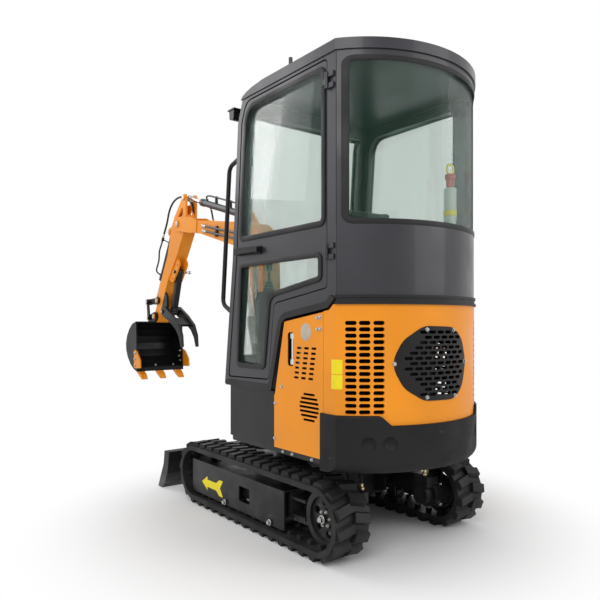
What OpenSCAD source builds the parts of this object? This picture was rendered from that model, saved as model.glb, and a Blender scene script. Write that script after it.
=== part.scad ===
// Mini excavator with cab: rubber tracks, blade, slewing upper body, swing boom, arm, thumb and bucket.
// Millimetres. X points to the boom, Y to the door side, Z up. The slew axis stands at the origin on the ground.

/* [Tracks] */
// Distance between the middles of the two tracks
track_gauge = 750; // [720:5:780]
// Width of each rubber track
track_w = 180; // [165:5:195]
// Half the distance from the drive wheel to the front wheel
axle_x = 520; // [505:5:535]
// Radius that the track runs on
wheel_r = 120; // [114:1:124]
// Thickness of the track without its lugs
belt_t = 24; // [20:1:28]
// Height of the lugs
lug_h = 22; // [19:1:25]
// Lugs round each row of a track
lug_count = 40; // [36:2:44]

/* [Blade] */
// Width of the blade
blade_w = 930; // [880:10:980]
// Thickness of the end plates of the blade
blade_end_t = 10; // [6:1:16]

/* [Upper body] */
// Width over the cab and the side panels
body_w = 860; // [850:2:870]
// Radius of the tail
tail_r = 554; // [550:1:558]
// Distance of the middle of the tail's curve behind the slew axis
tail_back = 275; // [270:1:280]
// Height of the underside of the platform
deck_z = 396; // [392:1:400]
// Thickness of the platform plate
deck_t = 22; // [20:1:24]
// Thickness of the body panels
panel_t = 18; // [10:1:22]
// Height of the air slots in the panels
slot_h = 10; // [6:1:13]

/* [Cab] */
// Thickness of the cab's walls and door
wall_t = 36; // [30:1:40]
// Height of the underside of the cab's floor
floor_z = 668; // [666:1:670]
// Height of the joint under the roof
eaves_z = 2066; // [2062:1:2072]
// Thickness of the roof
roof_t = 44; // [36:1:50]
// Thickness of the window glass
glass_t = 6; // [4:1:10]
// Gap round the door
door_gap = 6; // [5.5:0.5:8]
// Radius of the bar of the grab rail
rail_r = 11; // [8:1:14]

/* [Boom and arm] */
// Width of the boom
boom_w = 120; // [116:1:126]
// Width of the arm
arm_w = 90; // [86:1:94]
// Radius of the boom cylinder
boom_cyl_r = 28; // [26:1:31]
// Radius of the arm cylinder
arm_cyl_r = 23; // [22:1:26]
// Radius of the bucket cylinder
bucket_cyl_r = 23; // [22:1:26]
// Radius of the blade cylinder
blade_cyl_r = 24; // [22:1:26]
// Radius of the piston rods
rod_r = 13; // [11:1:15]

/* [Bucket and thumb] */
// Width of the bucket
bucket_w = 385; // [370:5:400]
// Thickness of the bucket's steel
bucket_t = 10; // [8:1:12]
// Width of each bucket tooth
tooth_w = 48; // [40:2:56]
// Thickness of each thumb tine
tine_t = 20; // [14:1:24]

/* [Hidden] */
$fn = 40;
// Small gap between fitted pieces and running fit of pins
fit = 0.3;
run = 0.05;
half_w = body_w / 2;
inner_w = half_w - wall_t;
axle_z = wheel_r + belt_t + lug_h;
belt_r = wheel_r + belt_t;
yc = track_gauge / 2;
plate_y = yc + 59;
beam_y = yc - 40;
deck_top = deck_z + deck_t;
tail_x = -tail_back;
tail_end = -626;
// Pin points in the X Z plane
boom_foot = [435, 690];
boom_cyl_base = [545, 590];
boom_cyl_pin = [738, 1380];
arm_cyl_base = [700, 1633];
arm_cyl_pin = [1452, 1861];
arm_pin = [1513, 1682];
bucket_cyl_base = [1700, 1650];
rocker_pin = [1870, 1148];
bucket_cyl_pin = [2005, 1140];
link_pin = [1988, 1015];
bucket_pin = [1905, 1028];
blade_pin = [300, 168];
blade_cyl_base = [285, 268];
blade_cyl_pin = [690, 250];
swing_x = 345;
hinge_x = -578;
hinge_y = half_w + 9;
thumb_pin = [1757, 1062];
strut_top = [1610, 1349];
strut_low = [1700, 1075];
boom_half = boom_w / 2;
arm_half = arm_w / 2;
bucket_half = bucket_w / 2;
// Hoses: radii, ports of the travel motors from their middle, the wall that their hoses reach, and routes
hose_r = 7;
thin_hose_r = 6;
travel_ports = [[14, -124], [-14, -170]];
hose_wall = -262;
travel_bend = [[0, 0], [0, 20], [4, 39], [15, 55], [31, 66], [50, 70]];
bucket_route = [[1443, -22, 1756], [1443, -22, 1780], [1450, -22, 1803], [1464, -22, 1824], [1485, -22, 1843],
    [1510, -22, 1860], [1540, -22, 1875], [1572, -22, 1888], [1606, -21, 1898], [1642, -18, 1903], [1676, -14, 1900],
    [1706, -8, 1888], [1730, -1, 1868], [1748, 6, 1840], [1759, 13, 1806], [1763, 19, 1770], [1766, 25, 1732],
    [1773, 31, 1696], [1785, 36, 1662], [1800, 40, 1628]];
arm_route = [[1120, 0, 1668], [1128, 0, 1691], [1136, 0, 1713], [1143, 0, 1733]];
// Outline of the cab's side and of its door, the door's windows and the lower edge of the cab
cab_front = [[238, floor_z], [161, 1293], [111, 1959], [70, eaves_z]];
cab_low = [[-625, 1078], [-580, 1039], [-267, 994], [-181, floor_z]];
cab_side = concat(cab_front, [[-625, eaves_z]], cab_low);
door_shape = [[196, 714], [122, 1293], [74, 1955], [34, eaves_z - 20], [-566, eaves_z - 20], [-566, 1124], [-192, 1070], [-150, 722]];
door_radii = [14, 0, 0, 60, 14, 14, 40, 20];
upper_pane = [[86, 1388], [41, 1945], [10, 2016], [-546, 2016], [-546, 1388]];
upper_radii = [22, 60, 70, 24, 24];
lower_pane = [[85, 1258], [-524, 1258], [-524, 1163], [-157, 1106], [-112, 774], [116, 774]];
lower_radii = [22, 22, 18, 40, 22, 22];
grille_shape = [[263, 815], [215, 910], [126, 967], [-47, 962], [-112, 905], [-142, 815], [-115, 720], [-57, 660], [124, 663], [212, 715]];

function unit(v) = v / norm(v);
function turn(a) = a > 180 ? a - 360 : a < -180 ? a + 360 : a;
function bend(c, r, a0, da, n) = [for (i = [0:n]) c + r * [cos(a0 + da * i / n), sin(a0 + da * i / n)]];
function corner(p0, p1, p2, r, n) =
    let (a = unit(p0 - p1), b = unit(p2 - p1), h = acos(a * b) / 2, c = p1 + unit(a + b) * r / sin(h))
    let (s = p1 + a * r / tan(h) - c, e = p1 + b * r / tan(h) - c, a0 = atan2(s.y, s.x))
    bend(c, r, a0, turn(atan2(e.y, e.x) - a0), n);
function rounded(p, r, n = 5) = let (m = len(p))
    [for (i = [0:m - 1]) each r[i] > 0 ? corner(p[(i + m - 1) % m], p[i], p[(i + 1) % m], r[i], n) : [p[i]]];
// Moves every side of an anticlockwise outline inward by d
function inset(p, d) = let (m = len(p))
    [for (i = [0:m - 1])
        let (e = unit(p[i] - p[(i + m - 1) % m]), g = unit(p[(i + 1) % m] - p[i]), n0 = [-e.y, e.x], n1 = [-g.y, g.x])
        p[i] + (n0 + n1) * d / (1 + n0 * n1)];
function back(p) = [for (i = [len(p) - 1:-1:0]) p[i]];
function slope(a, b) = atan2(b.y - a.y, b.x - a.x);

// Side view outline drawn in X Z and given its width in Y
module slab(y0, y1) {
    translate([0, y1, 0]) rotate([90, 0, 0]) linear_extrude(y1 - y0) children();
}
module pair(y0, y1) {
    slab(y0, y1) children();
    slab(-y1, -y0) children();
}
module at(p) {
    translate([p.x, p.y]) children();
}
module cross_pin(p, r, y0, y1) {
    slab(y0, y1) at(p) circle(r);
}
module box(a, b) {
    translate(a) cube(b - a);
}
module sides() {
    children();
    mirror([0, 1, 0]) children();
}
module rod_between(a, b, r) {
    d = b - a;
    translate(a) rotate([0, acos(d.z / norm(d)), atan2(d.y, d.x)]) cylinder(r = r, h = norm(d));
}
// Bar in the X Z plane at depth y, bent with radius b at its inner points
module bent_bar(p, y, r, b) {
    n = len(p) - 1;
    cut = [for (i = [0:n]) i == 0 || i == n ? 0 : b / tan(acos(unit(p[i - 1] - p[i]) * unit(p[i + 1] - p[i])) / 2)];
    for (i = [0:n - 1]) {
        d = unit(p[i + 1] - p[i]);
        s = p[i] + d * max(cut[i] - 3, 0);
        e = p[i + 1] - d * max(cut[i + 1] - 3, 0);
        rod_between([s.x, y, s.y], [e.x, y, e.y], r + 0.4);
    }
    for (i = [1:n - 1]) {
        u = unit(p[i - 1] - p[i]);
        v = unit(p[i + 1] - p[i]);
        c = p[i] + unit(u + v) * b / sin(acos(u * v) / 2);
        s = p[i] + u * cut[i] - c;
        e = p[i] + v * cut[i] - c;
        a0 = atan2(s.y, s.x);
        da = turn(atan2(e.y, e.x) - a0);
        translate([c.x, y, c.y]) rotate([90, 0, 0]) rotate([0, 0, min(a0, a0 + da)])
            rotate_extrude(angle = abs(da)) translate([b, 0]) circle(r);
    }
}
module pill(w, h) {
    square([w - h, h], center = true);
    for (s = [-1, 1]) translate([s * (w - h) / 2, 0]) circle(h / 2, $fn = 24);
}
// Plan of the tail: a round back between flat sides
module tail_plan(inward) {
    intersection() {
        translate([tail_x, 0]) circle(tail_r - inward, $fn = 120);
        translate([-1000, -half_w + inward]) square([2000, body_w - 2 * inward]);
    }
}
module tail_ring(outward, t) {
    difference() {
        tail_plan(-outward);
        tail_plan(t - outward);
    }
}

// Tracks
module loop_shape(r) {
    translate([-axle_x, axle_z]) circle(r, $fn = 56);
    translate([axle_x, axle_z]) circle(r, $fn = 56);
    translate([-axle_x, axle_z - r]) square([2 * axle_x, 2 * r]);
}
// Place on the loop at distance s from the lower rear corner: point and outward angle
function loop_at(s, r) = let (l = 2 * axle_x, c = PI * r)
    s < l ? [-axle_x + s, axle_z - r, -90] :
    s < l + c ? let (a = -90 + (s - l) / r * 180 / PI) [axle_x + r * cos(a), axle_z + r * sin(a), a] :
    s < 2 * l + c ? [axle_x - (s - l - c), axle_z + r, 90] :
    let (a = 90 + (s - 2 * l - c) / r * 180 / PI) [-axle_x + r * cos(a), axle_z + r * sin(a), a];
module on_loop(s, r) {
    q = loop_at(s, r);
    translate([q.x, 0, q.y]) rotate([0, 90 - q.z, 0]) children();
}
module track() {
    length = 4 * axle_x + 2 * PI * belt_r;
    pitch = length / lug_count;
    horn_pitch = (4 * axle_x + 2 * PI * wheel_r) / lug_count;
    slab(-track_w / 2, track_w / 2) difference() {
        loop_shape(belt_r);
        loop_shape(wheel_r);
    }
    for (i = [0:lug_count - 1]) {
        for (row = [0, 1]) {
            s = (i + row / 2) * pitch;
            h = abs(loop_at(s, belt_r).z) == 90 ? lug_h : lug_h - 3;
            on_loop(s, belt_r) rotate([0, 0, row == 0 ? 12 : -12])
                slab(row == 0 ? 5 : -track_w / 2 + 5, row == 0 ? track_w / 2 - 5 : -5)
                polygon([[-27, -6], [27, -6], [18, h], [-18, h]]);
        }
        on_loop(i * horn_pitch, wheel_r) box([-11, 34, -18], [11, 54, 4]);
        on_loop(i * horn_pitch, wheel_r) box([-11, -54, -18], [11, -34, 4]);
    }
}
module left_track() color([0.07, 0.07, 0.07]) {
    translate([0, yc, 0]) track();
}
module right_track() color([0.07, 0.07, 0.07]) {
    translate([0, -yc, 0]) track();
}
roller_x = [206, -190];
roller_z = lug_h + belt_t + 30 + fit;
module track_frame() {
    difference() {
        slab(plate_y, plate_y + 8) polygon([[-291, 62], [axle_x + 40, 62], [axle_x + 40, 236], [-291, 236]]);
        slab(plate_y - 1, plate_y + 9) polygon(rounded([[-10, 110], [85, 110], [85, 184], [-10, 184]], [8, 8, 8, 8]));
    }
    box([-291, beam_y, 228], [axle_x - wheel_r - 10, plate_y + 8, 236]);
    box([-300, beam_y, 118], [axle_x - wheel_r - 10, plate_y - 29, 228]);
    box([5 - axle_x + wheel_r, beam_y, 200], [-300, plate_y - 29, 212]);
    box([5 - axle_x + wheel_r, beam_y, 124], [-300, plate_y - 29, 136]);
    difference() {
        slab(beam_y - 8, beam_y) {
            translate([-axle_x, axle_z]) circle(84);
            translate([-axle_x, 118]) square([axle_x - 200, 100]);
        }
        cross_pin([-axle_x, axle_z], 41, beam_y - 10, beam_y + 2);
    }
    slab(beam_y - 8, beam_y) {
        translate([axle_x, axle_z]) circle(34);
        translate([300, axle_z - 34]) square([axle_x - 300, 68]);
    }
    cross_pin([axle_x, axle_z], 16, beam_y - 12, plate_y);
    for (x = roller_x) {
        box([x - 26, beam_y, roller_z - 10], [x + 26, beam_y + 8, 120]);
        cross_pin([x, roller_z], 10, beam_y, plate_y + 1);
        cross_pin([x, roller_z], 13, plate_y + 1, plate_y + 16);
    }
}
module track_frames() color([0.1, 0.1, 0.1]) {
    sides() track_frame();
}
module sprocket() {
    difference() {
        cross_pin([-axle_x, axle_z], wheel_r - fit, yc - 28, yc + 28);
        cross_pin([-axle_x, axle_z], 94, yc + 14, yc + 29);
        cross_pin([-axle_x, axle_z], 94, yc - 29, yc);
        for (i = [0:5]) {
            cross_pin([-axle_x + 66 * cos(60 * i + 20), axle_z + 66 * sin(60 * i + 20)], 17, yc - 1, yc + 15);
        }
    }
    cross_pin([-axle_x, axle_z], 40, yc - 28, yc + 1);
    cross_pin([-axle_x, axle_z], 42, yc + 13, yc + 26);
    cross_pin([-axle_x, axle_z], 15, yc + 25, yc + 40);
}
module sprockets() color([0.12, 0.12, 0.12]) {
    sides() sprocket();
}
module idlers() color([0.12, 0.12, 0.12]) {
    sides() difference() {
        cross_pin([axle_x, axle_z], wheel_r - fit, yc - 26, yc + 26);
        cross_pin([axle_x, axle_z], 16 + run, yc - 30, yc + 30);
        for (y = [yc - 27, yc + 10]) {
            difference() {
                cross_pin([axle_x, axle_z], 98, y, y + 17);
                cross_pin([axle_x, axle_z], 36, y - 1, y + 18);
            }
        }
    }
}
module rollers() color([0.14, 0.14, 0.14]) {
    sides() for (x = roller_x) difference() {
        cross_pin([x, roller_z], 30, yc - 28, yc + 28);
        cross_pin([x, roller_z], 10 + run, yc - 30, yc + 30);
    }
}
module travel_motors() color([0.08, 0.08, 0.08]) {
    sides() {
        cross_pin([-axle_x, axle_z], 40, yc - 50, yc - 28);
        cross_pin([-axle_x, axle_z], 74, yc - 100, yc - 48);
        cross_pin([-axle_x, axle_z], 62, yc - 150, yc - 100);
        cross_pin([-axle_x, axle_z], 44, yc - 190, yc - 150);
        box([-axle_x - 40, yc - 186, axle_z + 38], [-axle_x + 40, yc - 108, axle_z + 84]);
        for (p = travel_ports) translate([p.x - axle_x, p.y + yc, axle_z + 83]) cylinder(r = 10, h = 21);
    }
}
module car_body() color([0.09, 0.09, 0.09]) {
    difference() {
        union() {
            box([-250, -235, 125], [250, 235, 300]);
            for (x = [-190, 130]) box([x, -beam_y, 135], [x + 120, beam_y, 225]);
            translate([0, 0, 299]) cylinder(r = 225, h = deck_z - 20 - fit - 299, $fn = 96);
            sides() {
                for (y = [152, 188]) slab(y, y + 16) {
                    at(blade_pin) circle(28);
                    translate([240, 140]) square([60, 56]);
                }
                slab(22, 34) {
                    at(blade_cyl_base) circle(24);
                    polygon([[240, 220], [270, 240], [296, 250], [285, 292], [240, 296]]);
                }
                slab(150, 170) polygon([[-320, 150], [-240, 140], [-240, 240], [-290, 240], [-320, 210]]);
                box([hose_wall, 140, 280], [hose_wall + 14, yc - 98, axle_z + 190]);
            }
        }
        cross_pin([-294, 185], 16, -171, 171);
    }
    cross_pin(blade_pin, 12, 152, 204);
    cross_pin(blade_pin, 12, -204, -152);
    cross_pin(blade_cyl_base, 11, -34, 34);
}

// Blade
blade_back = [[900, 5], [866, 42], [836, 100], [820, 170], [814, 228]];
module blade() color([0.1, 0.1, 0.1]) {
    bw = blade_w / 2;
    slab(-bw, bw) {
        polygon(concat(blade_back, [[830, 228], [836, 170], [852, 104], [882, 48], [925, 5]]));
        polygon([[814, 200], [872, 200], [872, 228], [814, 228]]);
        polygon([[886, 22], [900, 5], [957, 5], [918, 40]]);
    }
    pair(bw - blade_end_t, bw) polygon(concat(blade_back, [[872, 228], [884, 150], [930, 60], [957, 5]]));
    difference() {
        union() {
            pair(170, 186) {
                at(blade_pin) circle(28);
                polygon([[300, 140], [830, 96], [830, 190], [640, 200], [300, 196]]);
            }
            slab(-170, 170) polygon([[640, 130], [720, 124], [720, 194], [640, 200]]);
            pair(24, 36) {
                at(blade_cyl_pin) circle(24);
                polygon([[660, 190], [720, 186], [712, 254], [668, 250]]);
            }
        }
        cross_pin(blade_pin, 12 + run, -190, 190);
    }
    cross_pin(blade_cyl_pin, 9, -36, 36);
    sides() slab(220, 236) difference() {
        polygon(rounded([[800, 90], [842, 90], [830, 150], [776, 150], [770, 110]], [0, 0, 0, 16, 16]));
        translate([796, 124]) circle(15);
    }
}

// Cylinder drawn along X from its base pin, then turned to its place
module placed(base, pin) {
    translate([base.x, 0, base.y]) rotate([0, -slope(base, pin), 0]) children();
}
module along_x(x0, x1, r) {
    translate([x0, 0, 0]) rotate([0, 90, 0]) cylinder(r = r, h = x1 - x0);
}
module barrel(base, pin, r, gland, eye_r, eye_w, pin_r) {
    start = eye_r + 20;
    placed(base, pin) difference() {
        union() {
            along_x(start, gland, r);
            along_x(gland - 28, gland + 8, r + 3);
            cross_pin([0, 0], eye_r, -eye_w, eye_w);
            box([0, -eye_w * 0.9, -eye_r * 0.8], [start + 4, eye_w * 0.9, eye_r * 0.8]);
        }
        cross_pin([0, 0], pin_r + run, -eye_w - 1, eye_w + 1);
        along_x(start + 12, gland + 9, rod_r + run);
    }
}
module piston(base, pin, tail, eye_r, eye_w, hole_r) {
    length = norm(pin - base);
    placed(base, pin) difference() {
        union() {
            along_x(tail, length - eye_r * 0.6, rod_r);
            along_x(length - eye_r - 14, length - eye_r * 0.6, rod_r + 5);
            cross_pin([length, 0], eye_r, -eye_w, eye_w);
        }
        cross_pin([length, 0], hole_r, -eye_w - 1, eye_w + 1);
    }
}
module blade_cylinder() color([0.1, 0.1, 0.1]) {
    barrel(blade_cyl_base, blade_cyl_pin, blade_cyl_r, 300, 20, 20, 11);
}
module blade_rod() color([0.8, 0.8, 0.8]) {
    piston(blade_cyl_base, blade_cyl_pin, 120, 20, 18, 13.5);
}
module boom_cylinder() color([0.1, 0.1, 0.1]) {
    barrel(boom_cyl_base, boom_cyl_pin, boom_cyl_r, 430, 24, 26, 12);
}
module boom_rod() color([0.8, 0.8, 0.8]) {
    piston(boom_cyl_base, boom_cyl_pin, 230, 22, 18, 12);
}
module arm_cylinder() color([0.1, 0.1, 0.1]) {
    barrel(arm_cyl_base, arm_cyl_pin, arm_cyl_r, 585, 24, 22, 12);
    difference() {
        rod_between([1146, 0, 1741], [1152, 0, 1757], 8);
        placed(arm_cyl_base, arm_cyl_pin) along_x(300, 560, rod_r + 5);
    }
}
module arm_rod() color([0.8, 0.8, 0.8]) {
    piston(arm_cyl_base, arm_cyl_pin, 210, 22, 18, 11);
}
module bucket_cylinder() color([0.1, 0.1, 0.1]) {
    barrel(bucket_cyl_base, bucket_cyl_pin, bucket_cyl_r, 392, 22, 20, 11);
}
module bucket_rod() color([0.8, 0.8, 0.8]) {
    piston(bucket_cyl_base, bucket_cyl_pin, 150, 20, 42, 10);
}

// Upper body
module platform() color([0.1, 0.1, 0.1]) {
    translate([0, 0, deck_z]) linear_extrude(deck_t) polygon(rounded(
        [[-533, -half_w + 2], [185, -half_w + 2], [185, half_w - 2], [-533, half_w - 2]], [0, 30, 30, 0]));
    translate([0, 0, deck_z - 20]) cylinder(r = 205, h = 21, $fn = 96);
    difference() {
        union() {
            box([90, -120, deck_top - 1], [250, 120, 600]);
            for (z = [432, 558]) translate([0, 0, z]) {
                translate([swing_x, 0, 0]) cylinder(r = 60, h = 25);
                box([240, -60, 0], [swing_x, 60, 25]);
            }
        }
        translate([swing_x, 0, 400]) cylinder(r = 25 + run, h = 220);
    }
}
module lower_boxes() color([0.06, 0.06, 0.06]) {
    sides() box([-197, 150, deck_top], [185, half_w - 2, floor_z]);
}
module counterweight() color([0.09, 0.09, 0.09]) {
    r = tail_r + 11;
    intersection() {
        translate([tail_x, 0, 0]) rotate_extrude($fn = 120)
            polygon(rounded([[440, 375], [r, 375], [r, 610], [440, 610]], [0, 46, 10, 0], 7));
        box([-1000, -half_w - 8, 300], [-534, half_w + 8, 700]);
        difference() {
            box([-1000, -600, 300], [-500, 600, 700]);
            translate([-1000, 0, 0]) rotate([90, 0, 90]) linear_extrude(500)
                polygon([[-305, 612], [-264, 570], [264, 570], [305, 612], [305, 800], [-305, 800]]);
            for (a = [37.5, 28.7, -28.7, -37.5]) {
                translate([tail_x, 0, 497]) rotate([0, 0, 180 - a]) translate([r + 22, 0, 0]) sphere(38);
            }
        }
    }
}
module hood_slots() {
    for (s = [-1, 1]) {
        for (a = [44.7, 39, 33.1]) {
            for (i = [0:14]) {
                translate([tail_x, 0, 624 + 25.3 * i]) rotate([0, 0, 180 - s * a])
                    translate([tail_r - 60, 0, 0]) rotate([90, 0, 90]) linear_extrude(80) pill(46, slot_h + 7);
            }
        }
    }
}
module rear_hood() color([0.95, 0.5, 0.05]) {
    difference() {
        translate([0, 0, 570.3]) linear_extrude(1053 - 570.3) intersection() {
            tail_ring(0, panel_t);
            translate([-1000, -600]) square([451, 1200]);
        }
        sides() translate([-1000, 0, 0]) rotate([90, 0, 90]) linear_extrude(600)
            polygon([[263.3, 500], [600, 500], [600, 610 + fit], [302.8, 610 + fit], [263.3, 569.8]]);
        slab(-600, 600) polygon([[-500, 1020], [-583, 1031], [-627, 1068], [-627, 1200], [-500, 1200]]);
        hood_slots();
        translate([-1000, 0, 0]) rotate([90, 0, 90]) linear_extrude(400)
            polygon(rounded(grille_shape, [for (p = grille_shape) 100]));
    }
}
module radiator_grille() color([0.05, 0.05, 0.05]) {
    difference() {
        intersection() {
            translate([0, 0, 640]) linear_extrude(350) tail_ring(3, 14);
            translate([-1000, 0, 0]) rotate([90, 0, 90]) linear_extrude(400)
                polygon(rounded(inset(grille_shape, fit), [for (p = grille_shape) 100]));
        }
        for (i = [0:12]) {
            for (j = [-4:5]) {
                z = 689 + 21 * i;
                y = 44 * j + (i % 2) * 22 - 5;
                reach = 252 - abs(z - 815) * 0.62;
                if (y > -reach * 0.5 + 10 && y < reach - 42) {
                    translate([-1000, y, z]) rotate([90, 0, 90]) linear_extrude(300) pill(36, 13);
                }
            }
        }
    }
}
module panel_shape() {
    polygon([[-199, deck_top], [-199, 650], [-205, floor_z - 8], [-277, 984], [-547, 1023], [-547, 611],
        [-534 + fit, 611], [-534 + fit, deck_top]]);
}
module panel_slots() {
    for (i = [0:6]) {
        for (j = [0:2]) {
            translate([-385 - 50 * j + 3.6 * i, 0, 871 - 21.3 * i]) box([-16, -20, -slot_h / 2], [16, 20, slot_h / 2]);
        }
    }
    for (i = [-3:3]) {
        reach = sqrt(66 * 66 - pow(18 * i, 2));
        translate([-452, 0, 623 + 18 * i]) box([-reach, -20, -slot_h / 2], [reach, 20, slot_h / 2]);
    }
}
module left_side_panel() color([0.95, 0.5, 0.05]) {
    difference() {
        slab(half_w - panel_t, half_w) panel_shape();
        translate([0, half_w - panel_t / 2, 0]) panel_slots();
        slab(half_w - 40, half_w + 20) polygon(rounded([[-345, 790], [-301, 790], [-301, 938], [-345, 938]], [14, 14, 14, 14]));
    }
}
module right_side_panel() color([0.95, 0.5, 0.05]) {
    difference() {
        slab(-half_w, -half_w + panel_t) panel_shape();
        translate([0, -half_w + panel_t / 2, 0]) panel_slots();
    }
}
module sight_gauge() color([0.8, 0.8, 0.8]) {
    y = half_w - panel_t;
    box([-356, y - 12, 776], [-290, y, 952]);
    translate([-323, y + 4, 800]) cylinder(r = 7, h = 128);
    for (z = [796, 910]) box([-334, y - 1, z], [-312, y + 10, z + 22]);
}
module engine() color([0.2, 0.2, 0.2]) {
    box([-560, -250, deck_top], [-262, 92, 900]);
}

// Cab
module trim_band(z0, z1, out) {
    translate([0, 0, z0]) linear_extrude(z1 - z0) intersection() {
        tail_ring(out, out + 22);
        translate([-1000, -600]) square([1000 + tail_end, 1200]);
    }
}
module cab_trim() color([0.04, 0.04, 0.04]) {
    low = [for (i = [5, 6, 7, 8, 0]) cab_side[i]];
    high = [for (i = [0, 8, 7, 6, 5]) inset(cab_side, 28)[i]];
    trim_band(1053, 1064, 8);
    trim_band(1063, 1081, 2);
    trim_band(1080, 1091, 6);
    pair(half_w, half_w + 7) polygon(rounded(concat(low, high), [0, 20, 50, 14, 10, 0, 0, 78, 0, 0]));
}
module cab_floor() color([0.12, 0.12, 0.12]) {
    slab(-inner_w, inner_w) polygon([[200, floor_z], [196, floor_z + 22], [-164, floor_z + 22], [-250, 1015],
        [-572, 1061], [-612, 1091], [-622, 1091], [-622, 1077], [-580, 1039], [-267, 994], [-181, floor_z]]);
    translate([0, 0, 1075]) linear_extrude(16) intersection() {
        tail_plan(wall_t + fit);
        translate([-1000, -600]) square([385, 1200]);
    }
}
module cab_left_frame() color([0.2, 0.2, 0.22]) {
    difference() {
        slab(inner_w, half_w) polygon(rounded(cab_side, [10, 0, 0, 0, 0, 0, 20, 50, 14]));
        slab(inner_w - 1, half_w + 1) polygon(rounded(inset(door_shape, -door_gap), [14, 0, 0, 66, 20, 20, 34, 26]));
    }
    for (z = [1240, 1928]) {
        for (s = [0, 45]) translate([hinge_x, hinge_y, z - 6 + s]) cylinder(r = 8, h = 20.5);
        for (s = [0, 45]) box([-616, half_w - 1, z - 6 + s], [hinge_x, hinge_y, z + 14.5 + s]);
    }
}
module cab_right_wall() color([0.2, 0.2, 0.22]) {
    difference() {
        slab(-half_w, -inner_w) polygon(rounded(cab_side, [10, 0, 0, 0, 0, 0, 20, 50, 14]));
        slab(-half_w - 1, -inner_w + 1) {
            polygon(rounded(upper_pane, upper_radii));
            polygon(rounded(lower_pane, lower_radii));
        }
    }
}
function front_strip(a, b) = concat([for (p = cab_front) p - [a, 0]], [for (i = [3:-1:0]) cab_front[i] - [b, 0]]);
module cab_front_frame() color([0.2, 0.2, 0.22]) {
    difference() {
        slab(-inner_w, inner_w) polygon(front_strip(0, 36));
        box([0, -inner_w + 44, 800], [400, inner_w - 44, 2006]);
    }
}
module windshield() color([0.5, 0.6, 0.55, 0.4]) {
    intersection() {
        slab(-inner_w + 44 + fit, inner_w - 44 - fit) polygon(front_strip(14, 14 + glass_t));
        box([0, -600, 800 + fit], [400, 600, 2006 - fit]);
    }
}
module rear_opening(d) {
    translate([-1000, 0, 0]) rotate([90, 0, 90]) linear_extrude(400)
        polygon(rounded([[-409 + d, 1378 + d], [409 - d, 1378 + d], [409 - d, 2036 - d], [-409 + d, 2036 - d]], [30, 30, 30, 30]));
}
module cab_rear_panel() color([0.2, 0.2, 0.22]) {
    difference() {
        translate([0, 0, 1091]) linear_extrude(eaves_z - 1091) intersection() {
            tail_ring(-1, wall_t - 1);
            translate([-1000, -600]) square([1000 + tail_end, 1200]);
        }
        rear_opening(0);
    }
}
module rear_window() color([0.5, 0.6, 0.55, 0.4]) {
    intersection() {
        translate([0, 0, 1300]) linear_extrude(800) intersection() {
            tail_ring(-8, glass_t);
            translate([-1000, -600]) square([1000 + tail_end, 1200]);
        }
        rear_opening(fit);
    }
}
module right_windows() color([0.5, 0.6, 0.55, 0.4]) {
    slab(-half_w + 12, -half_w + 12 + glass_t) {
        polygon(rounded(inset(upper_pane, fit), upper_radii));
        polygon(rounded(inset(lower_pane, fit), lower_radii));
    }
}
module cab_roof() color([0.2, 0.2, 0.22]) {
    intersection() {
        translate([0, 0, eaves_z]) linear_extrude(roof_t) intersection() {
            union() {
                translate([tail_x, 0]) circle(tail_r + 6, $fn = 120);
                translate([tail_x, -600]) square([400, 1200]);
            }
            translate([-1000, -half_w - 5]) square([2000, body_w + 10]);
        }
        slab(-600, 600) polygon([[78, eaves_z], [62, eaves_z + 14], [30, eaves_z + 26], [-24, eaves_z + 36],
            [-110, eaves_z + roof_t], [-900, eaves_z + roof_t], [-900, eaves_z]]);
    }
    translate([-290, 405, eaves_z + roof_t - 1]) cylinder(r = 9, h = 46);
}
module seat() color([0.1, 0.1, 0.1]) {
    box([-150, -140, floor_z + 22], [-10, 140, 931]);
    slab(-225, 225) polygon(rounded([[-212, 930], [40, 930], [66, 985], [50, 1040], [-225, 1030]], [10, 30, 30, 30, 10]));
    slab(-215, 215) polygon(rounded([[-235, 1020], [-165, 1020], [-240, 1420], [-262, 1540], [-330, 1540], [-320, 1420]],
        [10, 20, 10, 30, 30, 10]));
}
module consoles() color([0.12, 0.12, 0.12]) {
    sides() {
        slab(250, 350) polygon(rounded([[-150, floor_z + 22], [70, floor_z + 22], [90, 1080], [60, 1130], [-180, 1130], [-210, 1060]],
            [0, 0, 20, 20, 20, 0]));
        translate([30, 300, 1130]) cylinder(r = 24, h = 20);
        translate([30, 300, 1140]) cylinder(r = 7, h = 110);
        translate([30, 300, 1235]) cylinder(r = 17, h = 70);
    }
}
module travel_levers() color([0.1, 0.1, 0.1]) {
    sides() {
        box([90, 30, floor_z + 22], [150, 80, floor_z + 52]);
        translate([120, 55, floor_z + 50]) cylinder(r = 8, h = 400);
        translate([120, 55, floor_z + 430]) cylinder(r = 15, h = 90);
        box([60, 100, floor_z + 22], [160, 170, floor_z + 34]);
    }
}
module grab_rail() color([0.1, 0.1, 0.1]) {
    y = half_w - wall_t / 2;
    difference() {
        bent_bar([[90, 1806], [221, 1770], [287, 1076], [170, 1018]], y, rail_r, 45);
        slab(y - 60, y + 60) polygon(cab_side);
    }
}
module work_lamp() color([0.1, 0.1, 0.1]) {
    y = half_w - wall_t / 2;
    difference() {
        union() {
            box([70, y - 10, 1996], [140, y + 10, 2014]);
            slab(y - 30, y + 30) polygon(rounded([[136, 1984], [172, 1992], [176, 2037], [130, 2037]], [12, 6, 0, 0]));
            box([124, y - 34, 2036], [184, y + 34, 2043]);
        }
        slab(y - 60, y + 60) polygon(cab_side);
    }
}
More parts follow.
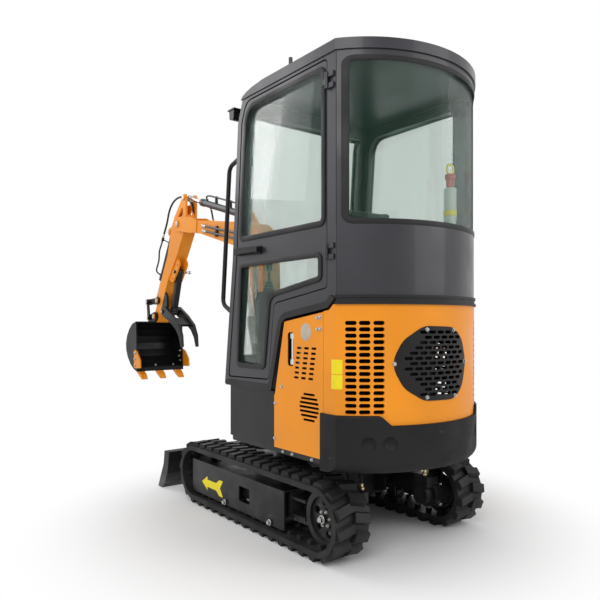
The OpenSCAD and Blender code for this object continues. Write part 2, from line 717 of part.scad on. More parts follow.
module extinguisher() color([0.85, 0.85, 0.8]) {
    translate([-590, -320, 1091]) cylinder(r = 26, h = 370);
    translate([-590, -320, 1460]) cylinder(r = 30, h = 157);
    translate([-590, -320, 1616]) cylinder(r = 14, h = 60);
}
module door_frame() color([0.2, 0.2, 0.22]) {
    difference() {
        slab(inner_w, half_w - 2) polygon(rounded(door_shape, door_radii));
        slab(inner_w - 1, half_w) {
            polygon(rounded(upper_pane, upper_radii));
            polygon(rounded(lower_pane, lower_radii));
        }
    }
    for (z = [1240, 1928]) {
        translate([hinge_x, hinge_y, z + 15]) cylinder(r = 8, h = 23.5);
        box([hinge_x, half_w + 1, z + 15], [-548, hinge_y - 2, z + 38.5]);
        box([-562, half_w - 3, z + 15], [-548, half_w + 2, z + 38.5]);
    }
}
module door_glass() color([0.5, 0.6, 0.55, 0.4]) {
    slab(half_w - 18, half_w - 18 + glass_t) {
        polygon(rounded(inset(upper_pane, fit), upper_radii));
        polygon(rounded(inset(lower_pane, fit), lower_radii));
    }
}
module door_handle() color([0.05, 0.05, 0.05]) {
    slab(half_w - 2, half_w + 6) polygon(rounded([[-99, 1300], [118, 1308], [118, 1346], [-99, 1340]], [14, 8, 8, 14]));
    slab(half_w + 5, half_w + 26) polygon([[60, 1310], [112, 1311], [112, 1341], [60, 1339]]);
    slab(half_w + 5, half_w + 20) polygon([[-92, 1308], [-66, 1308], [-66, 1334], [-92, 1334]]);
    slab(half_w + 14, half_w + 26) polygon([[-92, 1310], [112, 1312], [112, 1340], [-92, 1332]]);
}

// Boom, arm and bucket
module swing_post() color([0.1, 0.1, 0.1]) {
    translate([swing_x, 0, 424]) cylinder(r = 25, h = 168);
    translate([swing_x, 0, 458]) cylinder(r = 58, h = 99);
    box([swing_x, -64, 458], [425, 64, 557]);
    pair(46, 64) polygon(rounded([[405, 460], [560, 520], [596, 575], [588, 628], [500, 690], [484, 732],
        [446, 746], [400, 734], [384, 690], [386, 612], [413, 588], [413, 470]],
        [0, 30, 20, 20, 20, 20, 20, 20, 20, 6, 6, 0]));
    cross_pin(boom_foot, 15, -64, 64);
    cross_pin(boom_cyl_base, 12, -64, 64);
    for (p = [boom_foot, boom_cyl_base]) pair(64, 72) at(p) circle(20);
}
boom_shape = [[432, 930], [440, 1300], [466, 1556], [1264, 1676], [1306, 1610], [614, 1413], [516, 930]];
module boom() color([0.95, 0.5, 0.05]) {
    difference() {
        union() {
            slab(-boom_half, boom_half) polygon(rounded(back(boom_shape), [0, 150, 0, 0, 170, 90, 0], 8));
            slab(-44, 44) {
                at(boom_foot) circle(46);
                polygon([[390, 700], [481, 684], [525, 980], [432, 980]]);
            }
            slab(-boom_half, boom_half) polygon([[412, 830], [503, 830], [517, 935], [431, 935]]);
            pair(arm_half + 6, arm_half + 21) {
                at(arm_pin) circle(50);
                polygon([[1230, 1670], [1316, 1706], [1502, 1731], [1532, 1636], [1332, 1598], [1240, 1592]]);
            }
            pair(24, 38) {
                at(boom_cyl_pin) circle(30);
                polygon([[690, 1455], [712, 1366], [764, 1366], [800, 1480]]);
            }
            pair(25, 40) {
                at(arm_cyl_base) circle(30);
                polygon([[610, 1570], [672, 1642], [729, 1640], [770, 1590]]);
            }
        }
        cross_pin(boom_foot, 15 + run, -70, 70);
    }
    pair(arm_half + 20, arm_half + 29) at(arm_pin) circle(24);
    rod_between([1112, 0, 1645], arm_route[0], 8);
    cross_pin(arm_pin, 16, -arm_half - 22, arm_half + 22);
    cross_pin(arm_cyl_base, 12, -40, 40);
    for (p = [boom_cyl_pin, arm_cyl_base]) pair(37, 46) at(p) circle(18);
}
arm_shape = [[1426, 1740], [1432, 1690], [1464, 1612], [1564, 1468], [1714, 1291], [1800, 1140], [1862, 1010],
    [1948, 1040], [1912, 1100], [1866, 1240], [1722, 1473], [1668, 1624], [1644, 1692], [1600, 1745]];
module arm() color([0.95, 0.5, 0.05]) {
    difference() {
        union() {
            slab(-arm_half, arm_half) {
                polygon(rounded(arm_shape, [0, 0, 0, 0, 0, 0, 8, 8, 0, 0, 0, 0, 30, 0]));
                at(bucket_pin) circle(46);
            }
            pair(arm_half - 13, arm_half) {
                at(arm_cyl_pin) circle(28);
                polygon([[1428, 1700], [1610, 1700], [1610, 1740], [1480, 1868], [1424, 1861]]);
            }
            slab(1 - arm_half, arm_half - 1) polygon([[1516, 1824], [1509, 1817], [1596, 1731], [1606, 1735]]);
            translate([bucket_route[0].x, bucket_route[0].y, 1734]) cylinder(r = 8.5, h = bucket_route[0].z - 1734);
            pair(24, 38) {
                at(bucket_cyl_base) circle(26);
                polygon([[1640, 1690], [1712, 1674], [1720, 1632], [1676, 1596], [1650, 1600]]);
            }
            pair(24, 36) difference() {
                polygon(rounded([[1588, 1455], [1580, 1449], [1536, 1405], [1649, 1271.5], [1709.5, 1296.3], [1717, 1303]],
                    [0, 0, 24, 24, 0, 0]));
                translate([1571, 1395]) circle(9);
                translate([1648, 1303.5]) circle(9);
                at(strut_top) circle(11 + run);
            }
        }
        cross_pin(arm_pin, 16 + run, -60, 60);
        pair(15, 60) polygon(rounded([[1486, 1798], [1469, 1784], [1475, 1744], [1540, 1720], [1576, 1712]], [6, 8, 12, 8, 6]));
        slab(-24, 24) polygon(rounded([[1690, 1240], [1720, 1245], [1808, 1090], [1780, 1070]], [4, 12, 12, 4]));
    }
    cross_pin(bucket_cyl_base, 11, -38, 38);
    pair(37, 45) at(bucket_cyl_base) circle(17);
    pair(arm_half - 1, arm_half + 9) at(arm_cyl_pin) circle(18);
    cross_pin(rocker_pin, 12, -arm_half - 16, arm_half + 16);
    pair(arm_half + 15, arm_half + 22) at(rocker_pin) circle(18);
    cross_pin(bucket_pin, 15, -arm_half - 24, arm_half + 24);
    pair(arm_half + 23, arm_half + 30) at(bucket_pin) circle(20);
}
module bucket_rocker() color([0.08, 0.08, 0.08]) {
    a = slope(rocker_pin, bucket_cyl_pin);
    d = norm(bucket_cyl_pin - rocker_pin);
    difference() {
        pair(arm_half + 2, arm_half + 14) {
            at(rocker_pin) circle(27);
            at(bucket_cyl_pin) circle(24);
            at(rocker_pin) rotate(a) translate([0, -22]) square([d, 44]);
        }
        cross_pin(rocker_pin, 12 + run, -80, 80);
    }
    pair(arm_half + 13, arm_half + 36) at(bucket_cyl_pin) circle(11);
    pair(arm_half + 35, arm_half + 42) at(bucket_cyl_pin) circle(18);
}
module bucket_link() color([0.08, 0.08, 0.08]) {
    a = slope(bucket_cyl_pin, link_pin);
    d = norm(link_pin - bucket_cyl_pin);
    difference() {
        pair(arm_half + 22, arm_half + 34) {
            at(bucket_cyl_pin) circle(22);
            at(link_pin) circle(14);
            at(bucket_cyl_pin) rotate(a) translate([0, -14]) square([d, 28]);
        }
        cross_pin(bucket_cyl_pin, 11 + run, -100, 100);
    }
    pair(arm_half + 33, arm_half + 41) at(link_pin) circle(12);
}
bucket_out = [[1953, 990], [2025, 972], [2085, 930], [2128, 878], [2148, 821], [2143, 768], [2111, 712], [2055, 660], [1995, 628], [1939, 612]];
module bucket() color([0.06, 0.06, 0.06]) {
    shape = back(bucket_out);
    slab(-bucket_half, bucket_half) difference() {
        polygon(shape);
        polygon(concat(inset(shape, bucket_t), [[1900, 980], [1900, 622]]));
    }
    pair(bucket_half - bucket_t, bucket_half) polygon(concat(shape, [[1944, 800]]));
    difference() {
        pair(arm_half + 5, arm_half + 20) {
            at(bucket_pin) circle(34);
            at(link_pin) circle(26);
            polygon([[1880, 1004], [1936, 966], [2060, 946], [2012, 1006], [1995, 1040], [1910, 1062]]);
        }
        cross_pin(bucket_pin, 15 + run, -100, 100);
        slab(-100, 100) polygon(concat(inset(shape, bucket_t / 2), [[1900, 984], [1900, 622]]));
    }
    cross_pin(link_pin, 11, -arm_half - 20, arm_half + 20);
    slab(-bucket_half, bucket_half) polygon([[1939, 612], [1952, 616], [1952, 640], [1942, 646], [1934, 640]]);
}
module bucket_teeth() color([0.95, 0.5, 0.05]) {
    for (y = [-150, 0, 150]) {
        slab(y - tooth_w / 2, y + tooth_w / 2) polygon([[1939, 612], [1995, 628], [1990, 612], [1936, 578], [1884, 555], [1902, 588]]);
    }
    pair(bucket_half, bucket_half + 12)
        polygon(rounded([[1960, 780], [1906, 752], [1856, 700], [1850, 642], [1962, 638]], [10, 10, 20, 12, 10]));
}
tine_shape = [[1790, 1062], [1772, 1096], [1730, 1100], [1600, 1034], [1500, 968], [1456, 892], [1446, 812], [1458, 806],
    [1486, 874], [1534, 928], [1640, 988], [1752, 1028]];
module thumb() color([0.07, 0.07, 0.07]) {
    pair(48, 48 + tine_t) polygon(rounded(tine_shape, [16, 16, 20, 0, 30, 40, 4, 4, 30, 30, 0, 16]));
    slab(-49, 49) polygon([[1536, 952], [1626, 1000], [1618, 1016], [1528, 968]]);
    cross_pin(thumb_pin, 13, -76, 76);
    pair(30, 44) polygon(rounded([[1761.7, 1206.5], [1731, 1180], [1730, 1040], [1776, 1034], [1812, 1076], [1799.7, 1139.9]],
        [0, 10, 20, 20, 10, 0]));
    cross_pin(strut_low, 11, -50, 50);
    cross_pin(strut_top, 11, -50, 50);
    a = slope(strut_low, strut_top);
    slab(-20, 20) {
        at(strut_low) circle(22);
        at(strut_top) circle(22);
        at(strut_low) rotate(a) translate([0, -17]) square([norm(strut_top - strut_low), 34]);
    }
}

// Hose through its points, its rings turned from the side vector
module hose(p, r, side, n = 10) {
    m = len(p);
    rings = [for (i = [0:m - 1])
        let (t = unit(p[min(i + 1, m - 1)] - p[max(i - 1, 0)]), u = unit(cross(t, side)), v = cross(t, u))
        for (k = [0:n - 1]) p[i] + r * (cos(360 * k / n) * u + sin(360 * k / n) * v)];
    walls = [for (i = [0:m - 2], k = [0:n - 1])
        let (a = i * n + k, b = i * n + (k + 1) % n)
        each [[a, a + n, b], [b, a + n, b + n]]];
    ends = [[for (k = [0:n - 1]) k], [for (k = [n - 1:-1:0]) (m - 1) * n + k]];
    polyhedron(rings, concat(walls, ends));
}
function travel_route(k) =
    let (x = travel_ports[k].x - axle_x, y = travel_ports[k].y + yc, z = axle_z + 104)
    concat([for (q = travel_bend) [x + q.x, y, z + q.y]],
        [for (i = [1:6]) [x + 50 + (hose_wall - x - 50) * i / 6, y, z + 70]]);
module bucket_hose() color([0.05, 0.05, 0.05]) {
    hose(bucket_route, hose_r, [0, 1, 0]);
}
module arm_hose() color([0.05, 0.05, 0.05]) {
    hose(arm_route, thin_hose_r, [0, 1, 0]);
}
module left_travel_hose_a() color([0.05, 0.05, 0.05]) {
    hose(travel_route(0), thin_hose_r, [0, 1, 0]);
}
module left_travel_hose_b() color([0.05, 0.05, 0.05]) {
    hose(travel_route(1), thin_hose_r, [0, 1, 0]);
}
module right_travel_hose_a() color([0.05, 0.05, 0.05]) {
    mirror([0, 1, 0]) hose(travel_route(0), thin_hose_r, [0, 1, 0]);
}
module right_travel_hose_b() color([0.05, 0.05, 0.05]) {
    mirror([0, 1, 0]) hose(travel_route(1), thin_hose_r, [0, 1, 0]);
}

car_body();
left_track();
right_track();
track_frames();
sprockets();
idlers();
rollers();
travel_motors();
blade();
blade_cylinder();
blade_rod();
platform();
lower_boxes();
counterweight();
rear_hood();
radiator_grille();
left_side_panel();
right_side_panel();
engine();
sight_gauge();
cab_trim();
cab_floor();
cab_left_frame();
cab_right_wall();
cab_front_frame();
cab_rear_panel();
cab_roof();
windshield();
rear_window();
right_windows();
seat();
consoles();
travel_levers();
grab_rail();
work_lamp();
extinguisher();
door_frame();
door_glass();
door_handle();
swing_post();
boom();
boom_cylinder();
boom_rod();
arm();
arm_cylinder();
arm_rod();
thumb();
bucket_cylinder();
bucket_rod();
bucket_rocker();
bucket_link();
bucket();
bucket_teeth();
bucket_hose();
arm_hose();
left_travel_hose_a();
left_travel_hose_b();
right_travel_hose_a();
right_travel_hose_b();
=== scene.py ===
"""Looks of the mini excavator: finishes for its solids and the small pieces that ride on its bodies."""

import logging
import math
from contextlib import contextmanager
from dataclasses import dataclass, field, replace
from enum import Enum
from typing import Callable, Iterator, Optional, Sequence

import bpy
from mathutils import Matrix, Vector


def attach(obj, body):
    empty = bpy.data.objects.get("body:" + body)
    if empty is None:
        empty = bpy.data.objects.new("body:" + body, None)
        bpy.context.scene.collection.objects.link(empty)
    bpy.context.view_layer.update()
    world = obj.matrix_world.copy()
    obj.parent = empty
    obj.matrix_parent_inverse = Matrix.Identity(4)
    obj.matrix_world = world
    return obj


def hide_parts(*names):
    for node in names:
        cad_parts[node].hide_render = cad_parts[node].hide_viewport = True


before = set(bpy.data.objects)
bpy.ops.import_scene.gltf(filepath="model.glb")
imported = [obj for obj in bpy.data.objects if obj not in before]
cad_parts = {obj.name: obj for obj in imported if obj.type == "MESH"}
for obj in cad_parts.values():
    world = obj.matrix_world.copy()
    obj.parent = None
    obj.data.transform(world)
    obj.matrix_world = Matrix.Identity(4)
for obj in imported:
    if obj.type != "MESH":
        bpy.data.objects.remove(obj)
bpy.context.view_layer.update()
LOG = logging.getLogger("mini_excavator")
MM = 0.001

Piece = bpy.types.Object
Socket = bpy.types.NodeSocket
Color = tuple[float, float, float]
Flat = tuple[float, float]
Spot = tuple[float, float, float]
Outline = list[Flat]
Mover = Callable[[float, float, float], Spot]

LEFT_AND_RIGHT = (1.0, -1.0)


class Axis(Enum):
    """Main directions of the machine."""

    RIGHT = (0.0, -1.0, 0.0)
    UP = (0.0, 0.0, 1.0)


# Finishes


class Graph:
    """Nodes of one material, with its shader and the place on the piece."""

    def __init__(self, name: str) -> None:
        """Start a material that has only its shader.

        Args:
            name: Name of the material.
        """
        self.material = bpy.data.materials.new(name)
        self.material.use_nodes = True
        self.tree = self.material.node_tree
        self.shader = self.tree.nodes["Principled BSDF"]
        self.place = self.tree.nodes.new("ShaderNodeTexCoord").outputs["Object"]

    def link(self, source: Socket, target: Socket) -> None:
        """Join two sockets."""
        self.tree.links.new(source, target)

    def add(self, kind: str, feeds: dict[object, object], **settings: str) -> bpy.types.Node:
        """Add a node.

        Args:
            kind: Kind of the node.
            feeds: What each input gets, a socket or a value.
            settings: The node's own settings.

        Returns:
            The node.
        """
        node = self.tree.nodes.new("ShaderNode" + kind)
        for name, value in settings.items():
            setattr(node, name, value)
        for name, value in feeds.items():
            if isinstance(value, Socket):
                self.link(value, node.inputs[name])
            else:
                node.inputs[name].default_value = value
        return node

    def stretched(self, scale: Spot) -> Socket:
        """Give the place, stretched along the axes.

        Args:
            scale: Factor along each axis.

        Returns:
            The stretched place.
        """
        return self.add("Mapping", {"Vector": self.place, "Scale": scale}).outputs["Vector"]

    def noise(self, scale: float, detail: float = 4.0, stretch: Spot = (1.0, 1.0, 1.0)) -> Socket:
        """Give a cloudy value from 0 to 1.

        Args:
            scale: Clouds per metre.
            detail: Layers of finer clouds.
            stretch: Factor along each axis.

        Returns:
            The value.
        """
        feeds = {"Vector": self.stretched(stretch), "Scale": scale, "Detail": detail}
        return self.add("TexNoise", feeds).outputs["Fac"]

    def spread(self, value: Socket, span: Flat, to: Flat = (0.0, 1.0)) -> Socket:
        """Spread a span of a value to another span, smoothly.

        Args:
            value: The value.
            span: Span that is read.
            to: Span that is given.

        Returns:
            The new value.
        """
        ends = {"From Min": span[0], "From Max": span[1], "To Min": to[0], "To Max": to[1]}
        node = self.add("MapRange", {"Value": value, **ends}, interpolation_type="SMOOTHSTEP")
        return node.outputs["Result"]

    def times(self, first: Socket, second: Socket) -> Socket:
        """Multiply two values.

        Args:
            first: One value.
            second: The other value.

        Returns:
            Their product.
        """
        return self.add("Math", {0: first, 1: second}, operation="MULTIPLY").outputs["Value"]

    def reach(self, axis: str) -> Socket:
        """Give the distance from the origin along one axis, in metres.

        Args:
            axis: X, Y or Z.

        Returns:
            The distance, never negative.
        """
        along = self.add("SeparateXYZ", {"Vector": self.place}).outputs[axis]
        return self.add("Math", {0: along}, operation="ABSOLUTE").outputs["Value"]

    def blend(self, share: Socket, first: object, second: object) -> Socket:
        """Blend two colours.

        Args:
            share: Share of the second colour.
            first: A colour or a colour socket.
            second: A colour or a colour socket.

        Returns:
            The blended colour.
        """
        a, b = (color if isinstance(color, Socket) else (*color, 1.0) for color in (first, second))
        return self.add("Mix", {0: share, 6: a, 7: b}, data_type="RGBA").outputs[2]

    def bump(self, value: Socket, depth: float) -> None:
        """Roughen the surface.

        Args:
            value: Height from 0 to 1.
            depth: Depth of the grain in millimetres.
        """
        node = self.add("Bump", {"Strength": 1.0, "Distance": depth * MM, "Height": value})
        self.link(node.outputs["Normal"], self.shader.inputs["Normal"])


# Clouds of each kind of wear (clouds per metre, layers), and the spans that are read from them
TONE_LAYERS = 5.0
GRAIN_LAYERS = 3.0
DUST_CLOUDS = (9.0, 6.0)
SCUFF_CLOUDS = (14.0, 8.0, (1.0, 1.0, 3.0))
WEAR_CLOUDS = (6.0, 6.0)
CLOUD_SPAN = (0.3, 0.7)
DUST_SPAN = (0.35, 0.75)
SCUFF_SPAN = (0.66, 0.74)
WEAR_SHARES = (0.82, 1.2)
COAT_ROUGHNESS = 0.08


@dataclass(frozen=True)
class Finish:
    """Surface with a wandering tone, grain, dust and scuffs.

    Where the depth of the painted shade is set, what lies nearer the middle of the machine than that is
    painted near-black: painted shade that stands in for the shade in a panel's slots and recesses.
    """

    name: str
    color: Color
    roughness: float
    metallic: float = 0.0
    coat: float = 0.0
    tone: float = 0.12
    tone_scale: float = 3.0
    grain: float = 0.0
    grain_scale: float = 260.0
    dust: float = 0.0
    dust_color: Color = (0.22, 0.2, 0.17)
    dust_top: float = 0.7
    scuff: float = 0.0
    scuff_color: Color = (0.3, 0.3, 0.3)
    specular: float = 0.5
    sheen: float = 0.0
    # Painted shade: distance from the middle inside which the colour turns near-black, and that near-black
    # colour.
    painted_shade_y: float = 0.0
    painted_shade_color: Color = (0.006, 0.006, 0.006)

    def build(self) -> bpy.types.Material:
        """Make the material.

        Returns:
            The material.
        """
        graph = Graph(self.name)
        put = graph.shader.inputs
        put["Metallic"].default_value = self.metallic
        put["Coat Weight"].default_value = self.coat
        put["Coat Roughness"].default_value = COAT_ROUGHNESS
        put["Specular IOR Level"].default_value = self.specular
        put["Sheen Weight"].default_value = self.sheen
        clouds = graph.noise(self.tone_scale, TONE_LAYERS)
        dark = tuple(c * (1.0 - self.tone) for c in self.color)
        pale = tuple(min(1.0, c * (1.0 + self.tone)) for c in self.color)
        color = graph.blend(graph.spread(clouds, CLOUD_SPAN), dark, pale)
        if self.dust > 0.0:
            low = graph.spread(graph.reach("Z"), (0.0, self.dust_top), (self.dust, 0.0))
            patches = graph.spread(graph.noise(*DUST_CLOUDS), DUST_SPAN)
            color = graph.blend(graph.times(low, patches), color, self.dust_color)
        if self.scuff > 0.0:
            lines = graph.spread(graph.noise(*SCUFF_CLOUDS), SCUFF_SPAN, (0.0, self.scuff))
            color = graph.blend(lines, color, self.scuff_color)
        # Painted shade: faces deeper inside the panel than its outer skin are painted near-black, for the
        # shade in its slots and recesses.
        if self.painted_shade_y > 0.0:
            inside = graph.spread(graph.reach("Y"), (self.painted_shade_y - MM, self.painted_shade_y), (1.0, 0.0))
            color = graph.blend(inside, color, self.painted_shade_color)
        graph.link(color, put["Base Color"])
        least, most = (self.roughness * share for share in WEAR_SHARES)
        wear = graph.spread(graph.noise(*WEAR_CLOUDS), CLOUD_SPAN, (least, min(1.0, most)))
        graph.link(wear, put["Roughness"])
        if self.grain > 0.0:
            graph.bump(graph.noise(self.grain_scale, GRAIN_LAYERS), self.grain)
        return graph.material


@dataclass(frozen=True)
class Glazing:
    """Clear glass with a tint."""

    name: str
    color: Color
    alpha: float = 0.22
    clear: float = 0.75
    ior: float = 1.2
    deep: float = 0.85
    tint_clouds: Flat = (1.5, 2.0)
    haze: float = 0.03
    haze_clouds: Flat = (4.0, 3.0)

    def build(self) -> bpy.types.Material:
        """Make the material.

        Returns:
            The material.
        """
        graph = Graph(self.name)
        put = graph.shader.inputs
        put["Alpha"].default_value = self.alpha
        put["Transmission Weight"].default_value = self.clear
        put["IOR"].default_value = self.ior
        deep = tuple(c * self.deep for c in self.color)
        tint = graph.spread(graph.noise(*self.tint_clouds), CLOUD_SPAN)
        graph.link(graph.blend(tint, deep, self.color), put["Base Color"])
        haze = graph.spread(graph.noise(*self.haze_clouds), CLOUD_SPAN, (0.0, self.haze))
        graph.link(haze, put["Roughness"])
        return graph.material


class Surface(Enum):
    """The machine's finishes, by the record's slots and by the small pieces."""

    BLACK_STEEL = Finish("satin_black_paint", (0.009, 0.009, 0.01), 0.42, dust=0.3,
        dust_color=(0.09, 0.085, 0.08), scuff=0.07, specular=0.3)
    BLADE_PAINT = Finish("blade_paint", (0.009, 0.009, 0.01), 0.45, dust=0.7, dust_color=(0.16, 0.155, 0.15),
        dust_top=0.13, scuff=0.14, specular=0.3)
    BUCKET_PAINT = Finish("bucket_paint", (0.006, 0.006, 0.007), 0.4, scuff=0.05, specular=0.25)
    TRACK_RUBBER = Finish("track_rubber", (0.011, 0.011, 0.012), 0.6, grain=0.5, grain_scale=120.0, dust=0.4,
        dust_color=(0.05, 0.05, 0.05), tone=0.3, specular=0.28)
    WHEEL_STEEL = Finish("wheel_paint", (0.009, 0.009, 0.009), 0.42, dust=0.3,
        dust_color=(0.08, 0.08, 0.075), scuff=0.2, specular=0.3)
    CYLINDER_PAINT = Finish("cylinder_paint", (0.013, 0.013, 0.014), 0.32, coat=0.15, scuff=0.06,
        specular=0.35)
    ROD_CHROME = Finish("rod_chrome", (0.5, 0.5, 0.52), 0.2, metallic=1.0, tone=0.08)
    BOX_BLACK = Finish("box_paint", (0.007, 0.007, 0.008), 0.38, scuff=0.05, specular=0.28)
    WEIGHT_BLACK = Finish("weight_paint", (0.0105, 0.0105, 0.011), 0.62, grain=0.9, grain_scale=190.0,
        scuff=0.3, scuff_color=(0.06, 0.06, 0.06), tone=0.25, specular=0.22)
    ORANGE_PAINT = Finish("orange_paint", (0.87, 0.295, 0.012), 0.4, coat=0.08, tone=0.06, dust=0.12,
        dust_color=(0.45, 0.2, 0.05), dust_top=1.0, scuff=0.05, scuff_color=(0.5, 0.15, 0.02), specular=0.25)
    # The side panels get painted shade on every face more than 2.5 mm inside their outer faces, which darkens
    # their slots and recesses.
    PANEL_PAINT = replace(ORANGE_PAINT, name="panel_paint", painted_shade_y=0.4275)
    GRILLE_PLASTIC = Finish("grille_plastic", (0.007, 0.007, 0.007), 0.45, grain=0.15, specular=0.25)
    ENGINE_IRON = Finish("engine_iron", (0.014, 0.014, 0.014), 0.7, grain=0.6, scuff=0.3, specular=0.25)
    GAUGE_CHROME = Finish("gauge_chrome", (0.7, 0.7, 0.72), 0.18, metallic=1.0, tone=0.08)
    TRIM_RUBBER = Finish("trim_rubber", (0.009, 0.009, 0.01), 0.5, grain=0.1, specular=0.3)
    CAB_GREY = Finish("cab_paint", (0.024, 0.024, 0.03), 0.36, metallic=0.12, coat=0.2, tone=0.08,
        specular=0.4)
    WINDOW_GLASS = Glazing("window_glass", (0.12, 0.27, 0.19))
    SEAT_COVER = Finish("seat_cloth", (0.012, 0.012, 0.014), 0.85, grain=0.4, grain_scale=650.0,
        sheen=0.3, tone=0.2)
    BOTTLE_WHITE = Finish("bottle_paint", (0.62, 0.68, 0.6), 0.3, coat=0.4)
    BOLT_STEEL = Finish("bolt_steel", (0.5, 0.5, 0.49), 0.28, metallic=1.0, tone=0.12)
    ARROW_YELLOW = Finish("arrow_paint", (0.9, 0.74, 0.012), 0.42, tone=0.05, specular=0.3)
    PLATE_YELLOW = Finish("plate_film", (0.88, 0.72, 0.012), 0.3, tone=0.03, tone_scale=20.0, specular=0.3)
    PLATE_PALE = Finish("pale_film", (0.5, 0.44, 0.36), 0.3, tone=0.1, tone_scale=20.0, specular=0.3)
    HEAD_RED = Finish("head_red", (0.5, 0.02, 0.015), 0.4, tone=0.08)
    FITTING_BRASS = Finish("fitting_brass", (0.6, 0.48, 0.25), 0.32, metallic=1.0)
    LAMP_LENS = Finish("lamp_lens", (0.7, 0.72, 0.7), 0.15, coat=0.6)
    HOSE_RUBBER = Finish("hose_rubber", (0.01, 0.01, 0.011), 0.5, grain=0.2, grain_scale=420.0, specular=0.3)


class Paintbox:
    """Materials made once each, on first use."""

    def __init__(self) -> None:
        """Start with no material made."""
        self.made: dict[Surface, bpy.types.Material] = {}

    def get(self, surface: Surface) -> bpy.types.Material:
        """Give a finish's material.

        Args:
            surface: The finish.

        Returns:
            Its material.
        """
        if surface not in self.made:
            self.made[surface] = surface.value.build()
        return self.made[surface]

    def dress(self, piece: Piece, surface: Surface) -> None:
        """Give a piece one finish all over."""
        piece.data.materials.clear()
        piece.data.materials.append(self.get(surface))

    def dress_solids(self, solids: dict[Surface, tuple[str, ...]]) -> None:
        """Give solids their finishes.

        Args:
            solids: Names of the solids that have each finish.
        """
        for surface, names in solids.items():
            for name in names:
                self.dress(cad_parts[name], surface)


PAINT = Paintbox()


# Modelling steps

DOUBLED = 1e-6


